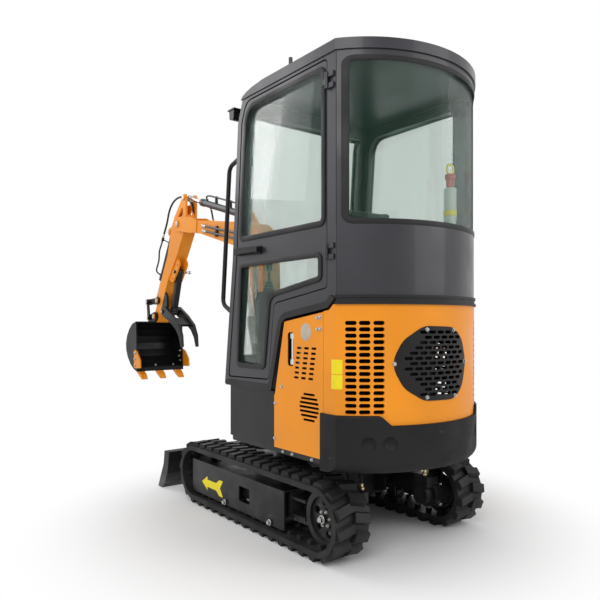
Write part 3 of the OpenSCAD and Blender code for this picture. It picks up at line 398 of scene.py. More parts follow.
class Bench:
    """Modelling steps that the sub-assemblies share, with Blender's operators and in millimetres."""

    @staticmethod
    def clear() -> None:
        """Deselect everything and leave edit mode."""
        if bpy.context.object and bpy.context.object.mode != "OBJECT":
            bpy.ops.object.mode_set(mode="OBJECT")
        bpy.ops.object.select_all(action="DESELECT")

    @staticmethod
    def hold(piece: Piece) -> None:
        """Make a piece the only one selected."""
        Bench.clear()
        piece.select_set(True)
        bpy.context.view_layer.objects.active = piece

    @staticmethod
    def started(name: str) -> Piece:
        """Give the primitive that was just added its name, with its place in its mesh.

        Args:
            name: Name of the piece.

        Returns:
            The piece.
        """
        piece = bpy.context.object
        piece.name = name
        piece.data.name = name
        bpy.ops.object.transform_apply(location=True, rotation=True, scale=True)
        return piece

    @staticmethod
    def soften(piece: Piece, width: float, segments: int = 2, angle: float = 35.0) -> Piece:
        """Round a piece's sharp edges.

        Args:
            piece: The piece.
            width: Width of the rounding.
            segments: Steps of the rounding.
            angle: Least angle of an edge that counts as sharp, in degrees.

        Returns:
            The piece.
        """
        Bench.hold(piece)
        step = piece.modifiers.new("soften", "BEVEL")
        step.width = width * MM
        step.segments = segments
        step.limit_method = "ANGLE"
        step.angle_limit = math.radians(angle)
        bpy.ops.object.modifier_apply(modifier=step.name)
        return piece

    @staticmethod
    def smooth(piece: Piece, angle: float = 40.0) -> Piece:
        """Shade a piece smooth across its gentle edges.

        Args:
            piece: The piece.
            angle: Largest angle that is smoothed, in degrees.

        Returns:
            The piece.
        """
        Bench.hold(piece)
        bpy.ops.object.shade_smooth_by_angle(angle=math.radians(angle))
        return piece

    @staticmethod
    @contextmanager
    def editing() -> Iterator[None]:
        """Work in edit mode on all of the active piece."""
        bpy.ops.object.mode_set(mode="EDIT")
        bpy.ops.mesh.select_all(action="SELECT")
        yield
        bpy.ops.object.mode_set(mode="OBJECT")

    @staticmethod
    def outwards(piece: Piece) -> None:
        """Merge a piece's doubled points and turn its faces outwards."""
        Bench.hold(piece)
        with Bench.editing():
            bpy.ops.mesh.remove_doubles(threshold=DOUBLED)
            bpy.ops.mesh.normals_make_consistent(inside=False)

    @staticmethod
    def thicken(by: float) -> None:
        """Draw the faces of the active piece out along Y."""
        with Bench.editing():
            bpy.ops.mesh.extrude_region_move(TRANSFORM_OT_translate={"value": (0.0, by * MM, 0.0)})

    @staticmethod
    def loop(name: str, count: int, fill: str) -> Piece:
        """Start a piece from a closed loop of points.

        Args:
            name: Name of the piece.
            count: Number of points.
            fill: Blender's word for how the loop is filled.

        Returns:
            The piece.
        """
        Bench.clear()
        bpy.ops.mesh.primitive_circle_add(vertices=count, radius=0.1, fill_type=fill)
        return Bench.started(name)

    @staticmethod
    def plate(name: str, outline: Sequence[Flat], y0: float, y1: float, round_by: float = 0.0) -> Piece:
        """Make a plate from its outline in side view.

        Args:
            name: Name of the piece.
            outline: Points of the outline, along X and Z.
            y0: One face.
            y1: The other face.
            round_by: Width of the rounded edges.

        Returns:
            The plate.
        """
        piece = Bench.loop(name, len(outline), "NGON")
        for point, (x, z) in zip(piece.data.vertices, outline):
            point.co = (x * MM, y0 * MM, z * MM)
        Bench.thicken(y1 - y0)
        Bench.outwards(piece)
        if round_by > 0.0:
            Bench.soften(piece, round_by)
        return Bench.smooth(piece)

    @staticmethod
    def gasket(name: str, outline: Sequence[Flat], inner: Sequence[Flat], y0: float, y1: float) -> Piece:
        """Make a flat ring between two outlines with as many points.

        Args:
            name: Name of the piece.
            outline: Outer outline, along X and Z.
            inner: Inner outline.
            y0: One face.
            y1: The other face.

        Returns:
            The ring.
        """
        count = len(outline)
        piece = Bench.loop(name, count, "NOTHING")
        places = [tuple(round(c, 5) for c in point.co) for point in piece.data.vertices]
        with Bench.editing():
            bpy.ops.mesh.extrude_edges_move(TRANSFORM_OT_translate={"value": (0.0, 0.0, 0.0)})
        for number, point in enumerate(piece.data.vertices):
            at = places.index(tuple(round(c, 5) for c in point.co)) if number >= count else number
            x, z = inner[at] if number >= count else outline[at]
            point.co = (x * MM, y0 * MM, z * MM)
        Bench.thicken(y1 - y0)
        Bench.outwards(piece)
        Bench.soften(piece, min(2.5, abs(y1 - y0) * 0.4))
        return Bench.smooth(piece)

    @staticmethod
    def drum(name: str, start: Spot, end: Spot, radius: float, round_by: float = 1.0,
            sides: int = 32) -> Piece:
        """Make a round bar between two points, with rounded ends.

        Args:
            name: Name of the piece.
            start: Middle of one end.
            end: Middle of the other end.
            radius: Radius of the bar.
            round_by: Width of the rounded edges.
            sides: Faces round the bar.

        Returns:
            The bar.
        """
        a, b = Vector(start) * MM, Vector(end) * MM
        Bench.clear()
        bpy.ops.mesh.primitive_cylinder_add(vertices=sides, radius=radius * MM, depth=(b - a).length,
            location=(a + b) / 2, rotation=(b - a).to_track_quat("Z", "Y").to_euler())
        piece = Bench.started(name)
        if round_by > 0.0:
            Bench.soften(piece, round_by, 3)
        return Bench.smooth(piece)

    @staticmethod
    def block(name: str, low: Spot, high: Spot, round_by: float = 2.0) -> Piece:
        """Make a block with rounded edges.

        Args:
            name: Name of the piece.
            low: Lowest corner.
            high: Highest corner.
            round_by: Width of the rounded edges.

        Returns:
            The block.
        """
        a, b = Vector(low) * MM, Vector(high) * MM
        Bench.clear()
        bpy.ops.mesh.primitive_cube_add(size=1.0, location=(a + b) / 2, scale=b - a)
        piece = Bench.started(name)
        Bench.soften(piece, round_by)
        return Bench.smooth(piece)

    @staticmethod
    def thread(line: bpy.types.Curve, radius: float, steps: int, round_steps: int, capped: bool) -> None:
        """Give a line a round section.

        Args:
            line: The line.
            radius: Radius of the section.
            steps: Steps between two points of the line.
            round_steps: Steps of a quarter of the section.
            capped: Whether the ends are closed.
        """
        line.resolution_u = steps
        line.dimensions = "3D"
        line.bevel_depth = radius * MM
        line.bevel_resolution = round_steps
        line.use_fill_caps = capped

    @staticmethod
    def tube(name: str, points: Sequence[Spot], radius: float, closed: bool = False, steps: int = 6) -> Piece:
        """Make a tube along a smooth line.

        Args:
            name: Name of the piece.
            points: Points of the line.
            radius: Radius of the tube.
            closed: Whether the line closes.
            steps: Steps between two points.

        Returns:
            The tube.
        """
        Bench.clear()
        bpy.ops.curve.primitive_nurbs_path_add()
        piece = bpy.context.object
        line = piece.data
        line.splines.clear()
        spline = line.splines.new("NURBS")
        spline.points.add(len(points) - 1)
        for point, spot in zip(spline.points, points):
            point.co = (*(c * MM for c in spot), 1.0)
        spline.use_cyclic_u = closed
        spline.use_endpoint_u = not closed
        spline.order_u = 3
        Bench.thread(line, radius, steps, 4, not closed)
        Bench.hold(piece)
        bpy.ops.object.convert(target="MESH")
        piece = Bench.started(name)
        return Bench.smooth(piece, 60.0)

    @staticmethod
    def lathe(name: str, profile: Sequence[Flat], at: Spot, facing: Spot, sides: int = 32) -> Piece:
        """Turn a profile round an axis.

        Args:
            name: Name of the piece.
            profile: Points of radius and distance along the axis, the first and last on the axis.
            at: Start of the axis.
            facing: Direction of the axis.
            sides: Steps round the axis.

        Returns:
            The turned piece.
        """
        piece = Bench.loop(name, len(profile), "NOTHING")
        for point, (radius, along) in zip(piece.data.vertices, profile):
            point.co = (radius * MM, 0.0, along * MM)
        with Bench.editing():
            bpy.ops.mesh.spin(steps=sides, angle=2 * math.pi, center=(0.0, 0.0, 0.0), axis=Axis.UP.value)
        turn = Vector(facing).to_track_quat("Z", "Y").to_matrix().to_4x4()
        piece.data.transform(Matrix.Translation(Vector(at) * MM) @ turn)
        Bench.outwards(piece)
        return Bench.smooth(piece, 35.0)

    @staticmethod
    def remap(piece: Piece, where: Mover) -> Piece:
        """Bend a piece by moving each of its points.

        Args:
            piece: The piece.
            where: Gives the new place of a place.

        Returns:
            The piece.
        """
        for point in piece.data.vertices:
            point.co = Vector(where(*(c / MM for c in point.co))) * MM
        Bench.outwards(piece)
        return Bench.smooth(piece)

    @staticmethod
    def film(name: str, low: Flat, high: Flat, thick: float, where: Mover) -> Piece:
        """Lay a thin plate over a bent surface.

        Args:
            name: Name of the piece.
            low: Least place along the surface and least height.
            high: Largest place along the surface and largest height.
            thick: Thickness of the plate.
            where: Gives the place of a place along the surface, outside it, and up.

        Returns:
            The plate.
        """
        Bench.clear()
        bpy.ops.mesh.primitive_grid_add(x_subdivisions=16, y_subdivisions=4, size=1.0)
        piece = Bench.started(name)
        for point in piece.data.vertices:
            along = low[0] + (high[0] - low[0]) * (point.co.x + 0.5)
            up = low[1] + (high[1] - low[1]) * (point.co.y + 0.5)
            point.co = (along * MM, 0.0, up * MM)
        Bench.thicken(thick)
        return Bench.remap(piece, where)

    @staticmethod
    def joined(name: str, pieces: Sequence[Piece]) -> Piece:
        """Join pieces that are one piece in use.

        Args:
            name: Name of the joined piece.
            pieces: The pieces.

        Returns:
            The joined piece.
        """
        Bench.hold(pieces[0])
        for piece in pieces:
            piece.select_set(True)
        if len(pieces) > 1:
            bpy.ops.object.join()
        return Bench.started(name)

    @staticmethod
    def fix(piece: Piece, body: str, surface: Surface, slot: str) -> Piece:
        """Give a piece its finish and let it ride on a body.

        Args:
            piece: The piece.
            body: Name of the body.
            surface: Its finish.
            slot: The record's slot.

        Returns:
            slot: The record's slot; not used.
        """
        PAINT.dress(piece, surface)
        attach(piece, body)
        LOG.info("%s rides on %s", piece.name, body)
        return piece


class Head(Enum):
    """Kinds of fastener ends."""

    HEX = "hexagon bolt with a washer"
    PIN = "round end of a pin"


# Radius and height along the end of a pin of unit radius
PIN_PROFILE = ((0.0, -0.05), (0.95, -0.05), (0.95, 0.12), (0.86, 0.2), (0.5, 0.22), (0.42, 0.12),
    (0.0, 0.12))


@dataclass
class BoltSet:
    """Bolts or pin ends, modelled once and copied."""

    name: str
    body: str
    spots: list[tuple[Spot, Spot, float]] = field(default_factory=list)
    surface: Surface = Surface.BOLT_STEEL
    slot: str = "rod_chrome"
    head: Head = Head.HEX

    def add(self, spot: Spot, facing: Spot, across: float = 14.0) -> None:
        """Note a bolt.

        Args:
            spot: Where its washer sits.
            facing: Direction that its head faces.
            across: Width of its head, or radius of a pin's end.
        """
        self.spots.append((spot, facing, across))

    def add_pair(self, x: float, y: float, z: float, across: float, inward: bool = False) -> None:
        """Note a bolt on the left side and its twin on the right side.

        Args:
            x: Place along the machine.
            y: Distance from the middle.
            z: Height.
            across: Width of its head, or radius of a pin's end.
            inward: Whether it faces the middle.
        """
        for sign in LEFT_AND_RIGHT:
            self.add((x, sign * y, z), (0.0, -sign if inward else sign, 0.0), across)

    def master(self) -> Piece:
        """Model one bolt of unit width, or one pin end of unit radius, facing up.

        Returns:
            The bolt.
        """
        if self.head is Head.PIN:
            turned = [(radius / MM, along / MM) for radius, along in PIN_PROFILE]
            return Bench.lathe(self.name + "_master", turned, (0.0, 0.0, 0.0), Axis.UP.value, 28)
        Bench.clear()
        bpy.ops.mesh.primitive_cylinder_add(vertices=6, radius=0.56, depth=0.5, location=(0.0, 0.0, 0.4))
        head = Bench.started(self.name + "_head")
        bpy.ops.object.mode_set(mode="EDIT")
        bpy.ops.mesh.select_all(action="DESELECT")
        bpy.ops.object.mode_set(mode="OBJECT")
        for face in head.data.polygons:
            face.select = face.normal.z > 0.9
        bpy.ops.object.mode_set(mode="EDIT")
        bpy.ops.mesh.inset(thickness=0.1, depth=0.09)
        bpy.ops.object.mode_set(mode="OBJECT")
        Bench.clear()
        bpy.ops.mesh.primitive_cylinder_add(vertices=20, radius=0.78, depth=0.15, location=(0.0, 0.0, 0.075))
        washer = Bench.started(self.name + "_washer")
        Bench.soften(washer, 40.0, 1)
        return Bench.joined(self.name + "_master", [head, washer])

    def build(self) -> Piece:
        """Copy the bolt to all its places.

        Returns:
            The set as one piece.
        """
        master = self.master()
        copies = []
        for spot, facing, across in self.spots:
            copy = master.copy()
            copy.data = master.data.copy()
            bpy.context.scene.collection.objects.link(copy)
            turn = Vector(facing).to_track_quat("Z", "Y").to_matrix().to_4x4()
            copy.data.transform(Matrix.Translation(Vector(spot) * MM) @ turn @ Matrix.Scale(across * MM, 4))
            copies.append(copy)
        bpy.data.objects.remove(master)
        piece = Bench.joined(self.name, copies)
        Bench.smooth(piece, 30.0)
        return Bench.fix(piece, self.body, self.surface, self.slot)


def rounded(points: Sequence[Flat], radii: Sequence[float], steps: int = 5) -> Outline:
    """Round the corners of an outline.

    Args:
        points: Corners of the outline.
        radii: Radius at each corner.
        steps: Steps of each rounding.

    Returns:
        The points of the rounded outline.
    """
    result: Outline = []
    for number, (spot, radius) in enumerate(zip(points, radii)):
        here = Vector(spot)
        if radius <= 0.0:
            result.append((here.x, here.y))
            continue
        a = (Vector(points[number - 1]) - here).normalized()
        b = (Vector(points[(number + 1) % len(points)]) - here).normalized()
        half = math.acos(max(-1.0, min(1.0, a.dot(b)))) / 2
        middle = here + (a + b).normalized() * (radius / math.sin(half))
        first = here + a * (radius / math.tan(half)) - middle
        last = here + b * (radius / math.tan(half)) - middle
        start = math.atan2(first.y, first.x)
        sweep = (math.atan2(last.y, last.x) - start + math.pi) % (2 * math.pi) - math.pi
        for step in range(steps + 1):
            turn = start + sweep * step / steps
            result.append((middle.x + radius * math.cos(turn), middle.y + radius * math.sin(turn)))
    return result


def grown(points: Sequence[Flat], by: float) -> Outline:
    """Move every side of an outline outward.

    Args:
        points: Corners of the outline, either way round.
        by: Distance, negative to shrink.

    Returns:
        The corners of the new outline.
    """
    count = len(points)
    area = sum(points[i - 1][0] * points[i][1] - points[i][0] * points[i - 1][1] for i in range(count))
    sign = 1.0 if area > 0.0 else -1.0
    result: Outline = []
    for number in range(count):
        before, here, after = (Vector(points[(number + s) % count]) for s in (-1, 0, 1))
        e, g = (here - before).normalized(), (after - here).normalized()
        n0, n1 = Vector((e.y, -e.x)) * sign, Vector((g.y, -g.x)) * sign
        spot = here + (n0 + n1) * (by / (1.0 + n0.dot(n1)))
        result.append((spot.x, spot.y))
    return result


def divided(points: Sequence[Flat], like: Sequence[Flat], step: float = 45.0) -> Outline:
    """Divide the sides of a closed outline into short ones.

    Args:
        points: The outline.
        like: Outline with as many points, whose sides say how many parts each side gets.
        step: Length of the parts.

    Returns:
        The divided outline.
    """
    result: Outline = []
    count = len(points)
    for number in range(count):
        a, b = Vector(points[number]), Vector(points[(number + 1) % count])
        length = (Vector(like[(number + 1) % count]) - Vector(like[number])).length
        parts = max(1, round(length / step))
        for part in range(parts):
            spot = a.lerp(b, part / parts)
            result.append((spot.x, spot.y))
    return result


def frame_of(corners: Sequence[Flat], radius: float, out: float, inward: float) -> tuple[Outline, Outline]:
    """Give the outer and inner outlines of a seal round an opening.

    Args:
        corners: Corners of the opening.
        radius: Radius of its corners.
        out: Reach of the seal outside the opening.
        inward: Reach of the seal inside the opening.

    Returns:
        The two outlines, with as many points.
    """
    outer = rounded(grown(corners, out), [radius + out] * len(corners))
    inner = rounded(grown(corners, -inward), [max(6.0, radius - inward)] * len(corners))
    return divided(outer, outer), divided(inner, outer)


# Sub-assemblies


# Tops of the ports on the left travel motor
TRAVEL_PORTS = ((-506, 251, 270), (-534, 205, 270))


@dataclass
class Hoses:
    """Free hoses, along the same routes as their solids."""

    bucket_route: tuple[Spot, ...] = ((1443, -22, 1756), (1443, -22, 1780), (1450, -22, 1803),
        (1464, -22, 1824), (1485, -22, 1843), (1510, -22, 1860), (1540, -22, 1875), (1572, -22, 1888),
        (1606, -21, 1898), (1642, -18, 1903), (1676, -14, 1900), (1706, -8, 1888), (1730, -1, 1868),
        (1748, 6, 1840), (1759, 13, 1806), (1763, 19, 1770), (1766, 25, 1732), (1773, 31, 1696),
        (1785, 36, 1662), (1800, 40, 1628))
    arm_route: tuple[Spot, ...] = ((1119, 0, 1665), (1128, 0, 1691), (1136, 0, 1713), (1143, 0, 1733))
    travel_bend: tuple[Flat, ...] = ((0, 0), (0, 20), (4, 39), (15, 55), (31, 66), (50, 70))
    wall_x: float = -262.0
    wall_steps: int = 12
    arm_steps: int = 15
    radius: float = 7.0
    thin_radius: float = 6.0
    travel_lengths: tuple[float, float] = (0.2925, 0.3205)

    def lay(self, name: str, points: Sequence[Spot], radius: float, body: str) -> Piece:
        """Make a hose of one smooth line that takes the place of its solid.

        Args:
            name: Name of the solid.
            points: Points of the line.
            radius: Radius of the hose.
            body: Body that carries it.

        Returns:
            The hose.
        """
        Bench.clear()
        bpy.ops.curve.primitive_bezier_curve_add()
        piece = bpy.context.object
        piece.name = name + "_line"
        line = piece.data
        line.splines.clear()
        spline = line.splines.new("BEZIER")
        spline.bezier_points.add(len(points) - 1)
        for point, spot in zip(spline.bezier_points, points):
            point.co = Vector(spot) * MM
            point.handle_left_type = "AUTO"
            point.handle_right_type = "AUTO"
        Bench.thread(line, radius, 5, 5, True)
        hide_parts(name)
        return Bench.fix(piece, body, Surface.HOSE_RUBBER, "hose_rubber")

    def travel_route(self, port: Spot, sign: float) -> list[Spot]:
        """Lay out a hose from a travel motor's port to the wall on the lower frame.

        Args:
            port: Top of the port on the left side.
            sign: 1 for the left side, -1 for the right side.

        Returns:
            The points.
        """
        x, y, z = port
        points = [(x + a, sign * y, z + b) for a, b in self.travel_bend]
        first = x + self.travel_bend[-1][0]
        run = self.wall_x - first
        top = z + self.travel_bend[-1][1]
        steps = range(1, self.wall_steps + 1)
        return points + [(first + run * step / self.wall_steps, sign * y, top) for step in steps]

    def build(self) -> None:
        """Lay all the hoses."""
        piece = self.lay("bucket_hose", self.bucket_route, self.radius, "arm")
        first, last = (Vector(self.arm_route[i]) for i in (0, -1))
        points = [tuple(first.lerp(last, step / self.arm_steps)) for step in range(self.arm_steps + 1)]
        piece = self.lay("arm_hose", points, self.thin_radius, "boom")
        for side, sign in (("left", 1.0), ("right", -1.0)):
            for end, port, length in zip("ab", TRAVEL_PORTS, self.travel_lengths):
                points = self.travel_route(port, sign)
                piece = self.lay(f"{side}_travel_hose_{end}", points, self.thin_radius, "undercarriage")


@dataclass
class Undercarriage:
    """Tracks, wheels, frames and motors under the slew ring."""

    body: str = "undercarriage"
    plate_y: float = 442.0
    axle_x: float = 520.0
    axle_z: float = 166.0
    wheel_y: float = 375.0
    roller_x: tuple[float, float] = (206.0, -190.0)
    roller_z: float = 76.3
    hub_ring: Flat = (31.0, 26.0)
    motor_ring: Flat = (68.0, -100.0)
    frame_bolt_y: float = 235.0
    frame_bolts: tuple[Flat, ...] = ((-46, 180), (46, 180), (-46, 232), (46, 232))
    arrow_thick: float = 0.6
    arrow: tuple[Flat, ...] = ((455, 131), (396, 168), (396, 150), (306, 150), (272, 172), (237, 172),
        (266, 131), (237, 90), (272, 90), (306, 112), (396, 112), (396, 94))
    solids: dict[Surface, tuple[str, ...]] = field(default_factory=lambda: {
        Surface.BLACK_STEEL: ("car_body", "track_frames", "travel_motors"),
        Surface.TRACK_RUBBER: ("left_track", "right_track"),
        Surface.WHEEL_STEEL: ("sprockets", "idlers", "rollers")})

    def arrows(self) -> None:
        """Add the yellow arrow that points forward on each frame plate."""
        for side, sign in (("left", 1.0), ("right", -1.0)):
            faces = [sign * y for y in (self.plate_y, self.plate_y + self.arrow_thick)]
            piece = Bench.plate(f"{side}_arrow", self.arrow, *faces)
            Bench.fix(piece, self.body, Surface.ARROW_YELLOW, "orange_paint")

    def round_axle(self, radius: float, degrees: float) -> Flat:
        """Find a place round the rear axle.

        Args:
            radius: Distance from the axle.
            degrees: Turn from the front.

        Returns:
            Its place along the machine and its height.
        """
        turn = math.radians(degrees)
        return (-self.axle_x + radius * math.cos(turn), self.axle_z + radius * math.sin(turn))

    def bolts(self) -> None:
        """Add the bolts of the rollers, drive wheels and motors."""
        bolts = BoltSet("undercarriage_bolts", self.body)
        for x in self.roller_x:
            bolts.add_pair(x, self.plate_y + 8, self.roller_z, 18.0)
        bolts.add_pair(-self.axle_x, self.wheel_y + 40, self.axle_z, 24.0)
        radius, out = self.hub_ring
        for step in range(6):
            x, z = self.round_axle(radius, 60 * step + 50)
            bolts.add_pair(x, self.wheel_y + out, z, 9.0)
        radius, out = self.motor_ring
        for step in range(4):
            x, z = self.round_axle(radius, 90 * step + 45)
            bolts.add_pair(x, self.wheel_y + out, z, 12.0, inward=True)
        for x, z in self.frame_bolts:
            bolts.add_pair(x, self.frame_bolt_y, z, 12.0)
        bolts.build()

    def fittings(self) -> None:
        """Add the brass nuts where the hoses leave the travel motors."""
        nuts = []
        for x, y, z in TRAVEL_PORTS:
            for sign in LEFT_AND_RIGHT:
                for name, low, high, radius, sides in (("port_nut", -11, -1, 13.0, 6),
                        ("port_sleeve", -2, 15, 8.2, 24)):
                    ends = ((x, sign * y, z + low), (x, sign * y, z + high))
                    nuts.append(Bench.drum(name, *ends, radius, 1.2, sides))
        Bench.fix(Bench.joined("travel_motor_fittings", nuts), self.body, Surface.FITTING_BRASS, "rod_chrome")

    def build(self) -> None:
        """Dress the undercarriage and add its small pieces."""
        PAINT.dress_solids(self.solids)
        self.arrows()
        self.bolts()
        self.fittings()


@dataclass
class Blade:
    """Dozer blade with its cylinder."""

    solids: dict[Surface, tuple[str, ...]] = field(default_factory=lambda: {
        Surface.BLADE_PAINT: ("blade",),
        Surface.CYLINDER_PAINT: ("blade_cylinder",),
        Surface.ROD_CHROME: ("blade_rod",)})

    def build(self) -> None:
        """Dress the blade."""
        PAINT.dress_solids(self.solids)


@dataclass
class UpperBody:
    """Platform, panels, hood, grille, engine and counterweight."""

    body: str = "upper"
    half_w: float = 430.0
    tail_x: float = -275.0
    tail_r: float = 554.0
    panel_bolts: tuple[Flat, ...] = ((-259, 695), (-210, 617), (-206, 459), (-510, 1000), (-530, 1003),
        (-510, 952), (-530, 954))
    grille_out: float = 3.0
    grille_bolts: tuple[Flat, ...] = ((250, 815), (112, 952), (-40, 948), (-128, 815), (-50, 676),
        (112, 677))
    deck_bolts: tuple[float, ...] = (-265.0, -334.0, -470.0)
    deck_bolt_z: float = 406.0
    gauge_window: tuple[Flat, ...] = ((-344.5, 790.5), (-301.5, 790.5), (-301.5, 937.5), (-344.5, 937.5))
    gauge_corner: float = 13.0
    gauge_inward: Flat = (18.0, 16.5)
    film_span: Flat = (-27.0, 26.0)
    film_heights: tuple[Flat, ...] = ((714.0, 771.0), (774.0, 832.0))
    film_thick: float = 0.7
    oval_middle: Flat = (-431.0, 940.0)
    oval_reach: Flat = (35.0, 37.0)
    solids: dict[Surface, tuple[str, ...]] = field(default_factory=lambda: {
        Surface.BLACK_STEEL: ("platform",),
        Surface.BOX_BLACK: ("lower_boxes",),
        Surface.WEIGHT_BLACK: ("counterweight",),
        Surface.ORANGE_PAINT: ("rear_hood",),
        Surface.GRILLE_PLASTIC: ("radiator_grille",),
        Surface.PANEL_PAINT: ("left_side_panel", "right_side_panel"),
        Surface.ENGINE_IRON: ("engine",),
        Surface.GAUGE_CHROME: ("sight_gauge",)})

    def on_tail(self, y: float, out: float) -> tuple[Spot, Spot]:
        """Find a place on the round tail.

        Args:
            y: Distance to the left of the middle.
            out: Distance outside the hood.

        Returns:
            The place without its height, and the direction outward.
        """
        turn = math.asin(y / (self.tail_r + out))
        facing = (-math.cos(turn), math.sin(turn), 0.0)
        reach = self.tail_r + out
        return (self.tail_x + facing[0] * reach, facing[1] * reach, 0.0), facing

    def bolts(self) -> None:
        """Add the bolts of the side panels and the grille."""
        bolts = BoltSet("panel_bolts", self.body)
        for x, z in self.panel_bolts:
            bolts.add_pair(x, self.half_w, z, 11.0)
        for y, z in self.grille_bolts:
            spot, facing = self.on_tail(y, self.grille_out)
            bolts.add((spot[0], spot[1], z), facing, 11.0)
        for x in self.deck_bolts:
            bolts.add_pair(x, self.half_w - 2, self.deck_bolt_z, 9.0)
        bolts.build()

    def gauge(self) -> None:
        """Add the black backing behind the sight tube."""
        outline = rounded(self.gauge_window, [self.gauge_corner] * len(self.gauge_window))
        faces = [self.half_w - inward for inward in self.gauge_inward]
        piece = Bench.plate("gauge_backing", outline, *faces)
        Bench.fix(piece, self.body, Surface.GRILLE_PLASTIC, "grille_plastic")

    def round_the_corner(self, along: float, out: float, up: float) -> Spot:
        """Find a place along the plan of the hood, from the edge between its flat side and its round tail.

        Args:
            along: Distance forward from the edge, negative on the round tail.
            out: Distance outside the hood.
            up: Height.

        Returns:
            The place.
        """
        edge = math.asin(self.half_w / self.tail_r)
        start = self.tail_x - self.tail_r * math.cos(edge)
        if along >= 0.0:
            return (start + along, self.half_w + out, up)
        turn = edge + along / self.tail_r
        reach = self.tail_r + out
        return (self.tail_x - reach * math.cos(turn), reach * math.sin(turn), up)

    def blank_plates(self) -> None:
        """Add the blank plates on the hood and the left panel."""
        start, end = self.film_span
        pieces = [Bench.film("hood_plate", (start, low), (end, high), self.film_thick, self.round_the_corner)
            for low, high in self.film_heights]
        Bench.fix(Bench.joined("hood_plates", pieces), self.body, Surface.PLATE_YELLOW, "orange_paint")
        turns = [math.radians(10 * step) for step in range(36)]
        (x, z), (wide, high) = self.oval_middle, self.oval_reach
        outline = [(x + wide * math.cos(turn), z + high * math.sin(turn)) for turn in turns]
        piece = Bench.plate("panel_plate", outline, self.half_w - 0.2, self.half_w + 0.8, 0.3)
        Bench.fix(piece, self.body, Surface.PLATE_PALE, "orange_paint")

    def build(self) -> None:
        """Dress the upper body and add its small pieces."""
        PAINT.dress_solids(self.solids)
        self.bolts()
        self.gauge()
        self.blank_plates()


UPPER_PANE = ((86, 1388), (41, 1945), (10, 2016), (-546, 2016), (-546, 1388))
UPPER_RADII = (22, 60, 70, 24, 24)
LOWER_PANE = ((85, 1258), (-524, 1258), (-524, 1163), (-157, 1106), (-112, 774), (116, 774))
LOWER_RADII = (22, 22, 18, 40, 22, 22)
SEAL_OUT = 14.0
SEAL_IN = 10.0
SEAL_THICK = 5.0


def pane_seals(side: str, body: str, face_y: float, sign: float) -> None:
    """Add the rubber seals of the upper and the lower pane of one side.

    Args:
        side: Start of the seals' names.
        body: Body that carries them.
        face_y: Face of the frame that they lie on.
        sign: 1 for the left side, -1 for the right side.
    """
    for name, pane, radii in (("upper", UPPER_PANE, UPPER_RADII), ("lower", LOWER_PANE, LOWER_RADII)):
        outer = rounded(grown(pane, SEAL_OUT), [r + 12 for r in radii])
        inner = rounded(grown(pane, -SEAL_IN), [max(8, r - 8) for r in radii])
        piece = Bench.gasket(f"{side}_{name}_seal", outer, inner, face_y, face_y + sign * SEAL_THICK)
        Bench.fix(piece, body, Surface.TRIM_RUBBER, "trim_rubber")


